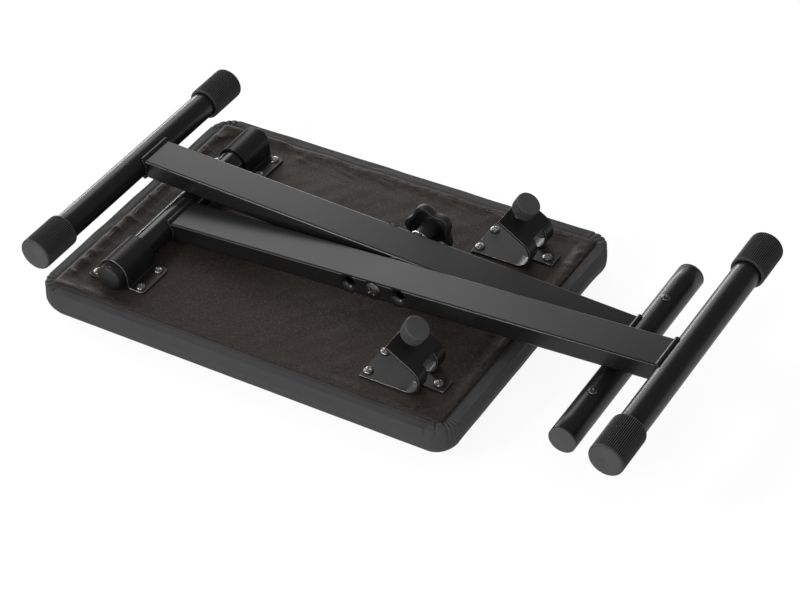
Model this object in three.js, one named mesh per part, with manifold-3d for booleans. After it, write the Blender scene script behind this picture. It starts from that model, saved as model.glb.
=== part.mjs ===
import * as THREE from 'three';
import { mergeVertices } from 'three/addons/utils/BufferGeometryUtils.js';
import Module from 'manifold-3d';

// Folding bench with a crossed steel frame, folded flat and lying upside down on its cushion.
// Millimetres. The middle of the sitting face is the origin and the floor is z = 0.
// +X runs along the seat to the hook clips, +Y from the bolt head to the star knob, +Z is up.

const wasm = await Module();
wasm.setup();

const degree = Math.PI / 180;
const quarterTurn = 90 * degree;
const fullTurn = 360 * degree;

// Fits shared by all pieces
const clearance = 0.3;
const overrun = 1;
const mergeTolerance = 1e-5;

// Seat: board, foam, vinyl cover and dust cover
const seatLength = 438;
const seatWidth = 304;
const seatHeight = 38.4;
const seatCornerRadius = 25;
const faceEdgeRadius = 19;
const crownHeight = 2.5;
const crownRun = 112;
const undersideEdgeRadius = 2;
const sideDrawIn = 0.8;
const vinylThickness = 0.9;
const vinylTurnIn = 20;
const vinylCornerTurnIn = 18;
const boardThickness = 12;
const boardMargin = 3.1;
const boardCornerRadius = 22;
const coverThickness = 0.5;
const coverMargin = 13;
const coverCornerCut = 6;
const coverSkew = -2;
const coverWaveHeight = 0.9;
const coverWaveCount = 6;
const coverStepWall = 0.6;

// Tube stock, with the two crossed legs side by side at the pivot bolt
const roundTubeDiameter = 25.4;
const roundTubeWall = 1.5;
const legWidth = 38;
const legHeight = 19;
const legWall = 1.5;
const legCornerRadius = 2;
const legLength = 520;
const pivotFromTop = 232;
const legGap = 2.5;
const legANearFace = -41.5;
const legAAngle = 3.23 * degree;
const legBAngle = -2.95 * degree;
const weldRadius = 2.6;
const weldStandOff = 1;

// Hinge tube and free tube at the legs' top ends, foot tubes at the other ends
const hingeFromEnd = 67;
const hingeZ = 51.5;
const topTubeShort = 67;
const topTubeShift = -2;
const footTubeLength = 300;

// Saddle brackets that hold the hinge tube
const saddleFromSide = 56.5;
const saddleWidth = 40;
const saddleLength = 62.8;
const saddleShift = -0.3;
const saddleSlack = 0.3;
const saddleBendRadius = 1.5;
const saddleCornerRadius = 4;
const saddleScrewAlong = 24.2;
const saddleScrewAcross = 13.5;

// Hook clips: base plate, curl, sloping upper sheet and the tab lanced out of the curl
const sheetThickness = 2;
const clipFromSide = 55.5;
const clipWidth = 44.5;
const clipLead = 45.5;
const curlFromEnd = 61.5;
const curlInnerRadius = 14;
const upperSheetSlope = 33 * degree;
const upperSheetLength = 29;
const tabWidth = 16;
const tabLength = 30.5;
const windowTopAngle = 40 * degree;
const clipScrewFromEnd = 4.7;
const clipScrewAcross = 14;
const tabScrewFromCurl = 21.5;

// Bracket screws
const screwShankDiameter = 4;
const screwLength = 12;
const screwPointLength = 3;
const screwHeadDiameter = 9.4;
const screwHeadHeight = 2.8;
const screwRecessSpan = 5;
const screwRecessWidth = 1.1;
const screwRecessDepth = 1.3;
const pilotExtra = 1;

// Thumbscrews and their weld nuts
const threadDiameter = 8;
const thumbFromEdge = 9.5;
const thumbKnobDiameter = 23.6;
const thumbKnobHeight = 14;
const thumbKnobLift = 7.5;
const thumbBoreDepth = 8;
const thumbStudReach = 20.5;
const thumbFluteCount = 24;
const thumbFluteDepth = 0.7;
const weldNutAcrossFlats = 13;
const weldNutHeight = 6.5;

// Rubber foot caps
const capLength = 42;
const capOverhang = 3;
const capDiameter = 32;
const capRibCount = 44;
const capRibDepth = 0.55;
const capBevel = 1.2;

// End plugs of the two top tubes
const plugStemLength = 12;
const plugFlangeThickness = 1.5;
const plugDomeHeight = 4.2;
const plugFlatEdge = 0.5;

// Locating rivets on the free tube
const rivetFromClip = 6.25;
const rivetHeadDiameter = 8;
const rivetHeadHeight = 2;
const rivetStemDiameter = 4;
const rivetStemLength = 4;
const rivetRecessDiameter = 2.2;
const rivetRecessDepth = 0.5;

// Pivot bolt, its dished seats in the legs, the spacer and the washer
const dimpleDiameter = 18;
const dimpleHoleDiameter = 9.6;
const dimpleDepth = 4.5;
const heightHolePitch = 26;
const boltHeadDiameter = 16;
const boltDomeHeight = 2.5;
const boltEndY = 60;
const boltEndChamfer = 0.8;
const boltRecessSpan = 8.4;
const boltRecessWidth = 1.7;
const boltRecessDepth = 3.2;
const spacerDiameter = 18;
const spacerThickness = 2;
const washerDiameter = 21;
const washerThickness = 2;

// Star knob on the pivot bolt
const starLobes = 5;
const starLobeRadius = 25.5;
const starNotchRadius = 20.5;
const starPhase = 36 * degree;
const starRimY = 54;
const starRimHeight = 14;
const starCavityRadius = 16.8;
const starCavityDepth = 9;
const starHubRadius = 8.6;
const starHubStartY = 39.7;
const starInsertRadius = 6;
const starInsertLength = 17;

// Shares of radius and of height along turned and stacked outlines
const panHeadShares = [[1, 0], [1, 0.3], [0.76, 0.84], [0, 1]];
const domeShares = [[1, 0], [0.93, 0.38], [0.74, 0.7], [0.42, 0.93], [0, 1]];
const rivetDomeShares = [[1, 0], [1, 0.35], [0.82, 0.8], [0.5, 1]];
const starLevelShares = [[0.965, 0], [1, 0.09], [1, 0.6], [0.95, 0.83], [0.8, 0.95], [0.5, 1]];
const thumbLevelShares = [[0.94, 0], [1, 0.1], [1, 0.86], [0.9, 1]];
const crownShares = [0, 0.3, 0.55, 0.78];

// Facets around curves
const cornerSegments = 6;
const edgeSegments = 6;
const underEdgeSegments = 3;
const waveSegments = 24;
const roundSegments = 28;
const plugSegments = 16;
const screwSegments = 10;
const bendSegments = 10;
const legCornerSegments = 2;
const starPoints = 50;
const weldSegments = 8;
const dishSegments = 14;
const flangeSegments = 3;
const rivetSegments = 12;
const thumbPointsPerFlute = 2;
const hexagon = 6;

// Values that follow from the ones above
const roundTubeRadius = roundTubeDiameter / 2;
const holeRadius = threadDiameter / 2 + clearance;
const boardTop = seatHeight - vinylThickness;
const boardBottom = boardTop - boardThickness;
const bracketBase = boardTop + coverThickness;
const bracketTop = bracketBase + sheetThickness;
const screwHoleRadius = screwShankDiameter / 2 + clearance;
const curlOuterRadius = curlInnerRadius + sheetThickness;
const curlZ = bracketBase + curlOuterRadius;
const legBNearFace = legANearFace + legWidth + legGap;
const legAFarFace = legANearFace + legWidth;
const legBFarFace = legBNearFace + legWidth;
const hingeX = hingeFromEnd - seatLength / 2;
const curlX = seatLength / 2 - curlFromEnd;
const clipStartX = curlX - clipLead;
const saddleSpread = seatWidth / 2 - saddleFromSide;
const clipSpread = seatWidth / 2 - clipFromSide;
const rivetSpread = clipSpread - clipWidth / 2 - rivetFromClip;
const topTubeLength = seatWidth - topTubeShort;
const pivotX = hingeX + pivotFromTop * Math.cos(legAAngle);
const pivotZ = hingeZ + pivotFromTop * Math.sin(legAAngle);
const freeX = pivotX + pivotFromTop * Math.cos(legBAngle);
const freeZ = pivotZ + pivotFromTop * Math.sin(legBAngle);
const dimpleSlope = (dimpleDiameter - dimpleHoleDiameter) / 2 / dimpleDepth;

const finishes = {
  frame: { color: 0x1b1b1c, roughness: 0.45, metalness: 0.3 },
  bracket: { color: 0x202021, roughness: 0.4, metalness: 0.3 },
  zinc: { color: 0xb9bbbd, roughness: 0.3, metalness: 1 },
  chrome: { color: 0xd6d8da, roughness: 0.12, metalness: 1 },
  rubber: { color: 0x161617, roughness: 0.85, metalness: 0 },
  plastic: { color: 0x19191a, roughness: 0.55, metalness: 0 },
  vinyl: { color: 0x2b2b2e, roughness: 0.5, metalness: 0 },
  cloth: { color: 0x241f1c, roughness: 0.95, metalness: 0 },
  board: { color: 0xb58f61, roughness: 0.8, metalness: 0 },
  foam: { color: 0xd8cfa8, roughness: 0.95, metalness: 0 },
};

// Closed triangles without repeated corners, facing outwards
function solid(geometry) {
  const bare = geometry.clone();
  bare.deleteAttribute('normal');
  bare.deleteAttribute('uv');
  const merged = mergeVertices(bare, mergeTolerance);
  const xyz = merged.attributes.position.array;
  const kept = [];
  let volume = 0;
  const corner = (i) => new THREE.Vector3(xyz[3 * i], xyz[3 * i + 1], xyz[3 * i + 2]);
  for (let t = 0; t < merged.index.count; t += 3) {
    const [a, b, c] = [0, 1, 2].map((k) => merged.index.getX(t + k));
    if (a !== b && b !== c && c !== a) {
      kept.push([a, b, c]);
      volume += corner(a).dot(corner(b).cross(corner(c)));
    }
  }
  const order = volume < 0 ? kept.map(([a, b, c]) => [a, c, b]) : kept;
  return new wasm.Manifold(new wasm.Mesh({
    numProp: 3,
    vertProperties: new Float32Array(xyz),
    triVerts: new Uint32Array(order.flat()),
  }));
}

function join(...pieces) {
  return pieces.reduce((whole, piece) => whole.add(piece));
}

function cut(whole, ...tools) {
  return tools.reduce((left, tool) => left.subtract(tool), whole);
}

// Box from two opposite corners
function block(x0, x1, y0, y1, z0, z1) {
  const geometry = new THREE.BoxGeometry(x1 - x0, y1 - y0, z1 - z0);
  geometry.translate((x0 + x1) / 2, (y0 + y1) / 2, (z0 + z1) / 2);
  return solid(geometry);
}

// Round bar or frustum along Y between two places
function barY(x, z, y0, y1, radius0, radius1 = radius0, segments = roundSegments) {
  const geometry = new THREE.CylinderGeometry(radius1, radius0, y1 - y0, segments);
  geometry.translate(x, (y0 + y1) / 2, z);
  return solid(geometry);
}

// Round bar along Z between two heights
function barZ(x, y, z0, z1, radius, segments = screwSegments) {
  const geometry = new THREE.CylinderGeometry(radius, radius, z1 - z0, segments);
  geometry.rotateX(quarterTurn);
  geometry.translate(x, y, (z0 + z1) / 2);
  return solid(geometry);
}

// Plan outline raised along Z
function plateZ(outline, z0, z1) {
  const shape = new THREE.Shape(outline);
  const geometry = new THREE.ExtrudeGeometry(shape, { depth: z1 - z0, bevelEnabled: false });
  geometry.translate(0, 0, z0);
  return solid(geometry);
}

// Outline in X and Z carried along Y
function profileY(shape, y0, y1) {
  const options = { depth: y1 - y0, bevelEnabled: false, curveSegments: bendSegments };
  const geometry = new THREE.ExtrudeGeometry(shape, options);
  geometry.rotateX(quarterTurn);
  geometry.translate(0, y1, 0);
  return solid(geometry);
}

// Outline in Y and Z carried along X
function profileX(outline, x0, x1) {
  const shape = new THREE.Shape(outline);
  const geometry = new THREE.ExtrudeGeometry(shape, { depth: x1 - x0, bevelEnabled: false });
  const [alongX, alongY, alongZ] = [[1, 0, 0], [0, 1, 0], [0, 0, 1]].map((v) => new THREE.Vector3(...v));
  geometry.applyMatrix4(new THREE.Matrix4().makeBasis(alongY, alongZ, alongX));
  geometry.translate(x0, 0, 0);
  return solid(geometry);
}

// Outline of radius and height turned about Y, or about Z when asked
function turned(pairs, segments, aboutZ = false) {
  const geometry = new THREE.LatheGeometry(pairs.map(([r, y]) => new THREE.Vector2(r, y)), segments);
  if (aboutZ) geometry.rotateX(quarterTurn);
  return solid(geometry);
}

// Rings of equal count joined in order and closed by a fan at each end
function stack(rings) {
  const count = rings[0].length;
  const middle = (ring) => ring.reduce((sum, p) => sum.add(p), new THREE.Vector3()).divideScalar(count);
  const points = [...rings.flat(), middle(rings[0]), middle(rings[rings.length - 1])];
  const index = [];
  rings.forEach((ring, level) => {
    ring.forEach((_, i) => {
      const a = level * count + i;
      const b = level * count + ((i + 1) % count);
      if (level === 0) index.push(points.length - 2, b, a);
      if (level === rings.length - 1) index.push(points.length - 1, a, b);
      else index.push(a, b, b + count, a, b + count, a + count);
    });
  });
  const geometry = new THREE.BufferGeometry();
  const xyz = points.flatMap((p) => [p.x, p.y, p.z]);
  geometry.setAttribute('position', new THREE.Float32BufferAttribute(xyz, 3));
  geometry.setIndex(index);
  return solid(geometry);
}

function roundedOutline(halfX, halfY, radius, segments, centreX = 0, centreY = 0) {
  const points = [];
  [[1, 1], [-1, 1], [-1, -1], [1, -1]].forEach(([sx, sy], quadrant) => {
    for (let k = 0; k <= segments; k += 1) {
      const angle = quarterTurn * (quadrant + k / segments);
      const x = sx * (halfX - radius) + radius * Math.cos(angle);
      const y = sy * (halfY - radius) + radius * Math.sin(angle);
      points.push(new THREE.Vector2(centreX + x, centreY + y));
    }
  });
  return points;
}

// Cushion form: seat outline drawn in by an inset at each height
function seatRing(inset, z) {
  const faceHalf = seatWidth / 2 - faceEdgeRadius;
  const faceShare = (seatWidth / 2 - inset) / faceHalf;
  const radius = inset < faceEdgeRadius
    ? seatCornerRadius - inset
    : (seatCornerRadius - faceEdgeRadius) * faceShare;
  const outline = roundedOutline(seatLength / 2 - inset, seatWidth / 2 - inset, radius, cornerSegments);
  return outline.map((p) => new THREE.Vector3(p.x, p.y, z));
}

// Crowned sitting face and rounded edge, every surface moved inwards by the skin
function faceRings(skin) {
  const rings = crownShares.map((share) => {
    const inset = crownRun + (faceEdgeRadius - crownRun) * share;
    return seatRing(inset, skin + crownHeight * share * share);
  });
  const arc = faceEdgeRadius - skin;
  for (let k = 0; k <= edgeSegments; k += 1) {
    const angle = quarterTurn * (k / edgeSegments);
    const inset = faceEdgeRadius - arc * Math.sin(angle);
    rings.push(seatRing(inset, crownHeight + faceEdgeRadius - arc * Math.cos(angle)));
  }
  return rings;
}

// Sides and the turned edge at the underside
function sideRings(skin) {
  const arc = undersideEdgeRadius - skin;
  const rings = [];
  for (let k = 0; k <= underEdgeSegments; k += 1) {
    const angle = quarterTurn * (k / underEdgeSegments);
    const inset = sideDrawIn + undersideEdgeRadius - arc * Math.cos(angle);
    rings.push(seatRing(inset, seatHeight - undersideEdgeRadius + arc * Math.sin(angle)));
  }
  return rings;
}

// Opening left by the turned-in vinyl, cut across its corners where the pleats lie
function openingOutline(inset) {
  const x = seatLength / 2 - vinylTurnIn - inset;
  const y = seatWidth / 2 - vinylTurnIn - inset;
  const c = vinylCornerTurnIn;
  const right = [[x - c, -y], [x, c - y], [x, y - c], [x - c, y]];
  const left = [[c - x, y], [-x, y - c], [-x, c - y], [c - x, -y]];
  const corners = [...right, ...left];
  return corners.map(([px, py]) => new THREE.Vector2(px, py));
}

// Dust cover outline: trimmed corners, one end a little askew and a wavy far edge
function coverOutline() {
  const x = seatLength / 2 - coverMargin;
  const y = seatWidth / 2 - coverMargin;
  const c = coverCornerCut;
  const points = [[c - x, -y], [x - c, -y], [x, c - y], [x - coverSkew, y - c]];
  for (let k = 0; k <= waveSegments; k += 1) {
    const share = k / waveSegments;
    const wave = coverWaveHeight * Math.sin(fullTurn * coverWaveCount * share) * Math.sin(Math.PI * share);
    points.push([(x - c) * (1 - 2 * share), y + wave]);
  }
  points.push([-x, y - c], [-x, c - y]);
  return points.map(([px, py]) => new THREE.Vector2(px, py));
}

// Places of the bracket screws, saddles first
const saddleX = hingeX + saddleShift;
const screwPlaces = [];
[['near', -1], ['far', 1]].forEach(([side, sign]) => {
  const corners = [[-1, -1], [-1, 1], [1, -1], [1, 1]];
  corners.forEach(([alongX, alongY], i) => screwPlaces.push({
    name: `saddle_screw_${side}_${i + 1}`,
    x: saddleX + alongX * saddleScrewAlong,
    y: sign * saddleSpread + alongY * saddleScrewAcross,
  }));
  const clipScrews = [
    [clipStartX + clipScrewFromEnd, -clipScrewAcross],
    [clipStartX + clipScrewFromEnd, clipScrewAcross],
    [curlX + tabScrewFromCurl, 0],
  ];
  clipScrews.forEach(([x, y], i) => screwPlaces.push({
    name: `clip_screw_${side}_${i + 1}`,
    x,
    y: sign * clipSpread + y,
  }));
});

// Holes for the screws of one kind on one side, or for every screw when no kind is given
function screwHoles(kind, middleY, z0, z1) {
  return screwPlaces
    .filter(({ name, y }) => name.startsWith(kind) && y * middleY >= 0)
    .map(({ x, y }) => barZ(x, y, z0, z1, screwHoleRadius));
}

function buildSeatCover() {
  const outside = stack([...faceRings(0), ...sideRings(0)]);
  const inside = stack([...faceRings(vinylThickness), ...sideRings(vinylThickness)]);
  const opening = plateZ(openingOutline(0), boardTop - overrun, seatHeight + overrun);
  return cut(outside, inside, opening);
}

function buildCushion() {
  const skin = vinylThickness + clearance;
  return stack([...faceRings(skin), seatRing(skin + sideDrawIn, boardBottom - clearance)]);
}

function buildBoard() {
  const halfX = seatLength / 2 - boardMargin;
  const halfY = seatWidth / 2 - boardMargin;
  const outline = roundedOutline(halfX, halfY, boardCornerRadius, cornerSegments);
  const pilotBottom = bracketTop - screwLength - pilotExtra;
  return cut(plateZ(outline, boardBottom, boardTop), ...screwHoles('', 0, pilotBottom, boardTop + overrun));
}

function buildDustCover() {
  const coverTop = seatHeight + coverThickness;
  const border = plateZ(coverOutline(), seatHeight, coverTop);
  const wellOutside = plateZ(openingOutline(clearance), boardTop, coverTop);
  const wellInside = plateZ(openingOutline(clearance + coverStepWall), bracketBase, coverTop + overrun);
  return cut(join(border, wellOutside), wellInside, ...screwHoles('', 0, boardTop - overrun, bracketTop));
}

// Strap bent over the hinge tube, with a flat flange on each side
function buildSaddle(middleY) {
  const inner = roundTubeRadius + clearance + saddleSlack;
  const outer = inner + sheetThickness;
  const bend = outer + saddleBendRadius;
  const half = saddleLength / 2;
  const bendZ = bracketTop + saddleBendRadius;
  const large = saddleBendRadius + sheetThickness;
  const small = saddleBendRadius;
  const shape = new THREE.Shape();
  shape.moveTo(saddleX - half, bracketBase);
  shape.lineTo(saddleX - bend, bracketBase);
  shape.absarc(saddleX - bend, bendZ, large, -quarterTurn, 0, false);
  shape.absarc(saddleX, hingeZ, inner, Math.PI, 0, true);
  shape.absarc(saddleX + bend, bendZ, large, Math.PI, 3 * quarterTurn, false);
  shape.lineTo(saddleX + half, bracketBase);
  shape.lineTo(saddleX + half, bracketTop);
  shape.absarc(saddleX + bend, bendZ, small, -quarterTurn, -Math.PI, true);
  shape.absarc(saddleX, hingeZ, outer, 0, Math.PI, false);
  shape.absarc(saddleX - bend, bendZ, small, 0, -quarterTurn, true);
  shape.lineTo(saddleX - half, bracketTop);
  shape.closePath();
  const strap = profileY(shape, middleY - saddleWidth / 2, middleY + saddleWidth / 2);
  const plan = roundedOutline(half, saddleWidth / 2, saddleCornerRadius, flangeSegments, saddleX, middleY);
  const top = hingeZ + outer + overrun;
  const trimmed = strap.intersect(plateZ(plan, bracketBase - overrun, top));
  return cut(trimmed, ...screwHoles('saddle', middleY, bracketBase - overrun, bracketTop + overrun));
}

// Directions of the sloping upper sheet: up along it, and out of its top face
const sheetUp = new THREE.Vector3(-Math.cos(upperSheetSlope), 0, Math.sin(upperSheetSlope));
const sheetOut = new THREE.Vector3(Math.sin(upperSheetSlope), 0, Math.cos(upperSheetSlope));

function curlPoint(outwards, upwards, middleY) {
  return new THREE.Vector3(curlX, middleY, curlZ)
    .addScaledVector(sheetOut, outwards)
    .addScaledVector(sheetUp, upwards);
}

// Moves a solid made about the origin onto the upper sheet, its Z along the thumbscrew
function ontoSheet(geometry, middleY) {
  const place = curlPoint(curlOuterRadius, upperSheetLength - thumbFromEdge, middleY);
  geometry.rotateY(upperSheetSlope);
  geometry.translate(place.x, place.y, place.z);
  return geometry;
}

// Hook clip: pressed sheet with the tab pushed flat out of the curl, leaving a window
function buildClip(middleY) {
  const sheetEnd = curlPoint(curlOuterRadius, upperSheetLength, 0);
  const sheetEndInner = curlPoint(curlInnerRadius, upperSheetLength, 0);
  const slopeAngle = quarterTurn - upperSheetSlope;
  const shape = new THREE.Shape();
  shape.moveTo(clipStartX, bracketBase);
  shape.lineTo(curlX, bracketBase);
  shape.absarc(curlX, curlZ, curlOuterRadius, -quarterTurn, slopeAngle, false);
  shape.lineTo(sheetEnd.x, sheetEnd.z);
  shape.lineTo(sheetEndInner.x, sheetEndInner.z);
  shape.absarc(curlX, curlZ, curlInnerRadius, slopeAngle, -quarterTurn, true);
  shape.lineTo(clipStartX, bracketTop);
  shape.closePath();
  const hook = profileY(shape, middleY - clipWidth / 2, middleY + clipWidth / 2);
  const windowHalf = tabWidth / 2 + clearance;
  const windowTop = curlZ + curlOuterRadius * Math.sin(windowTopAngle);
  const windowEnd = curlX + curlOuterRadius + overrun;
  const windowSides = [middleY - windowHalf, middleY + windowHalf];
  const window = block(curlX, windowEnd, ...windowSides, bracketBase - overrun, windowTop);
  const tabSides = [middleY - tabWidth / 2, middleY + tabWidth / 2];
  const tab = block(curlX - overrun, curlX + tabLength, ...tabSides, bracketBase, bracketTop);
  const holes = screwHoles('clip', middleY, bracketBase - overrun, bracketTop + overrun);
  const boreLength = 2 * (sheetThickness + overrun);
  const bore = new THREE.CylinderGeometry(holeRadius, holeRadius, boreLength, roundSegments);
  bore.rotateX(quarterTurn);
  return cut(join(cut(hook, window), tab), ...holes, solid(ontoSheet(bore, middleY)));
}

function buildWeldNut(middleY) {
  const radius = weldNutAcrossFlats / Math.sqrt(3);
  const top = -sheetThickness - clearance;
  const body = new THREE.CylinderGeometry(radius, radius, weldNutHeight, hexagon);
  const bore = new THREE.CylinderGeometry(holeRadius, holeRadius, weldNutHeight + 2 * overrun, roundSegments);
  const [nut, hole] = [body, bore].map((geometry) => {
    geometry.rotateX(quarterTurn);
    geometry.translate(0, 0, top - weldNutHeight / 2);
    return solid(ontoSheet(geometry, middleY));
  });
  return cut(nut, hole);
}

// Pan-head screw with a cross recess, its head standing on the origin plane
function buildScrew() {
  const shank = screwShankDiameter / 2;
  const head = screwHeadDiameter / 2;
  const profile = [[0, -screwLength], [shank, screwPointLength - screwLength], [shank, 0]];
  panHeadShares.forEach(([r, h]) => profile.push([head * r, screwHeadHeight * h]));
  const [half, wide] = [screwRecessSpan / 2, screwRecessWidth / 2];
  const [low, high] = [screwHeadHeight - screwRecessDepth, screwHeadHeight + overrun];
  return cut(turned(profile, screwSegments, true),
    block(-half, half, -wide, wide, low, high),
    block(-wide, wide, -half, half, low, high));
}

// Fluted thumbscrew knob about Z, its underside at the lift above the sheet
function buildThumbKnob() {
  const count = thumbFluteCount * thumbPointsPerFlute;
  const rings = thumbLevelShares.map(([radiusShare, heightShare]) => {
    const ring = [];
    for (let i = 0; i < count; i += 1) {
      const valley = i % thumbPointsPerFlute === 0 ? thumbFluteDepth : 0;
      const radius = (thumbKnobDiameter / 2 - valley) * radiusShare;
      const angle = fullTurn * (i / count);
      const z = thumbKnobLift + thumbKnobHeight * heightShare;
      ring.push(new THREE.Vector3(radius * Math.cos(angle), radius * Math.sin(angle), z));
    }
    return ring;
  });
  const bore = barZ(0, 0, 0, thumbKnobLift + thumbBoreDepth + clearance, holeRadius, plugSegments);
  return cut(stack(rings), bore);
}

function buildThumbStud() {
  return barZ(0, 0, -thumbStudReach, thumbKnobLift + thumbBoreDepth, threadDiameter / 2, plugSegments);
}

// One crossed leg along X from its top tube at the origin, the foot on the given side.
// Dished seats stand in the outer face for the bolt at three heights.
function buildLeg(footSide, nearFace, dishFace) {
  const middleY = nearFace + legWidth / 2;
  const [x0, x1] = [Math.min(0, footSide * legLength), Math.max(0, footSide * legLength)];
  const outer = roundedOutline(legWidth / 2, legHeight / 2, legCornerRadius, legCornerSegments, middleY);
  const inner = roundedOutline(
    legWidth / 2 - legWall, legHeight / 2 - legWall, legCornerRadius - legWall, legCornerSegments, middleY);
  const beadX = Math.sqrt(roundTubeRadius ** 2 - (legHeight / 2) ** 2) + weldStandOff;
  const beads = [footSide * beadX, footSide * (legLength - beadX)].flatMap((x) => [-1, 1].map((side) => (
    barY(x, side * legHeight / 2, nearFace, nearFace + legWidth, weldRadius, weldRadius, weldSegments))));
  let leg = cut(join(profileX(outer, x0, x1), ...beads), profileX(inner, x0 - overrun, x1 + overrun));
  const outwards = dishFace === nearFace ? -1 : 1;
  const plainFace = outwards < 0 ? nearFace + legWidth : nearFace;
  const frustum = (x, from, fromRadius, to, toRadius) => (from < to
    ? barY(x, 0, from, to, fromRadius, toRadius, dishSegments)
    : barY(x, 0, to, from, toRadius, fromRadius, dishSegments));
  const [rim, hole] = [dimpleDiameter / 2, dimpleHoleDiameter / 2];
  [-1, 0, 1].forEach((step) => {
    const x = footSide * (pivotFromTop + step * heightHolePitch);
    const deep = dishFace - outwards * dimpleDepth;
    const pressedEnd = deep - outwards * legWall;
    const pressedRim = rim + legWall;
    const pressedHole = pressedRim - dimpleSlope * (dimpleDepth + legWall);
    leg = join(leg, frustum(x, dishFace, pressedRim, pressedEnd, pressedHole));
    leg = cut(leg,
      frustum(x, dishFace + outwards * overrun, rim + dimpleSlope * overrun, deep, hole),
      frustum(x, deep + outwards * overrun, hole, pressedEnd - outwards * overrun, hole),
      frustum(x, plainFace - legWall - overrun, holeRadius, plainFace + legWall + overrun, holeRadius));
  });
  const cope = roundTubeRadius + clearance;
  const sides = [nearFace - overrun, nearFace + legWidth + overrun];
  const ends = [0, footSide * legLength].map((x) => barY(x, 0, ...sides, cope));
  return cut(leg, ...ends);
}

// Round tube about Y, with holes for rivets in its upper side when asked
function buildRoundTube(x, middleY, length, rivetHoles = []) {
  const [y0, y1] = [middleY - length / 2, middleY + length / 2];
  const inner = roundTubeRadius - roundTubeWall;
  const tube = cut(barY(x, 0, y0, y1, roundTubeRadius), barY(x, 0, y0 - overrun, y1 + overrun, inner));
  const holeSize = rivetStemDiameter / 2 + clearance;
  return cut(tube, ...rivetHoles.map((y) => barZ(x, y, 0, roundTubeRadius + overrun, holeSize)));
}

// Ribbed rubber cup pushed over the end of a foot tube
function buildFootCap(x, side) {
  const tubeEnd = footTubeLength / 2;
  const capEnd = tubeEnd + capOverhang;
  const levels = [[0, capEnd - capLength], [0, capEnd - capBevel], [capBevel, capEnd]];
  const count = 2 * capRibCount;
  const rings = levels.map(([inset, y]) => {
    const ring = [];
    for (let i = 0; i < count; i += 1) {
      const radius = capDiameter / 2 - inset - (i % 2) * capRibDepth;
      const angle = fullTurn * (i / count);
      ring.push(new THREE.Vector3(x + radius * Math.cos(angle), side * y, radius * Math.sin(angle)));
    }
    return ring;
  });
  const boreEnds = [capEnd - capLength - overrun, tubeEnd + clearance].map((y) => side * y);
  const [low, high] = side < 0 ? boreEnds.reverse() : boreEnds;
  return cut(stack(rings), barY(x, 0, low, high, roundTubeRadius + clearance));
}

// Plug pushed into a tube end, its flange domed or flat
function buildPlug(endY, side, domed) {
  const stem = roundTubeRadius - roundTubeWall - clearance;
  const flange = roundTubeRadius;
  const profile = [[0, -plugStemLength], [stem, -plugStemLength], [stem, clearance], [flange, clearance]];
  const top = clearance + plugFlangeThickness;
  if (domed) domeShares.forEach(([r, h]) => profile.push([flange * r, top + plugDomeHeight * h]));
  else profile.push([flange, top - plugFlatEdge], [flange - plugFlatEdge, top], [0, top]);
  return turned(profile.map(([r, y]) => [r, endY + side * y]), plugSegments);
}

// Domed rivet standing on the upper side of the free tube
function buildRivet(y) {
  const head = rivetHeadDiameter / 2;
  const seatZ = roundTubeRadius - clearance;
  const headTop = roundTubeRadius + clearance + rivetHeadHeight;
  const profile = [[0, seatZ], [head, seatZ]];
  const rise = headTop - roundTubeRadius;
  rivetDomeShares.forEach(([r, h]) => profile.push([head * r, roundTubeRadius + rise * h]));
  profile.push([rivetRecessDiameter / 2, headTop]);
  profile.push([rivetRecessDiameter / 2, headTop - rivetRecessDepth], [0, headTop - rivetRecessDepth]);
  const under = barY(0, 0, -head - overrun, head + overrun, roundTubeRadius + clearance);
  const cap = cut(turned(profile, rivetSegments, true), under);
  const stemTop = headTop - rivetRecessDepth;
  const stem = barZ(0, 0, roundTubeRadius - rivetStemLength, stemTop, rivetStemDiameter / 2, rivetSegments);
  return join(cap, stem).translate([0, y, 0]);
}

// Pivot bolt along Y: raised countersunk head in the dished seat, plain shank through both legs
function buildBolt(x) {
  const rim = boltHeadDiameter / 2;
  const shank = threadDiameter / 2;
  const rimY = legANearFace + (dimpleDiameter / 2 - rim - clearance) / dimpleSlope;
  const coneLength = (rim - shank) / dimpleSlope;
  const dome = domeShares.map(([r, h]) => [rim * r, rimY - boltDomeHeight * h]).reverse();
  const profile = [...dome, [shank, rimY + coneLength], [shank, boltEndY - boltEndChamfer],
    [shank - boltEndChamfer, boltEndY], [0, boltEndY]];
  const [half, wide] = [boltRecessSpan / 2, boltRecessWidth / 2];
  const headY = rimY - boltDomeHeight;
  const [low, high] = [headY - overrun, headY + boltRecessDepth];
  const bolt = cut(turned(profile, roundSegments),
    block(-half, half, low, high, -wide, wide),
    block(-wide, wide, low, high, -half, half));
  return bolt.translate([x, 0, 0]);
}

function buildRing(x, y0, y1, outerRadius, innerRadius) {
  return cut(barY(x, 0, y0, y1, outerRadius), barY(x, 0, y0 - overrun, y1 + overrun, innerRadius));
}

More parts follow.
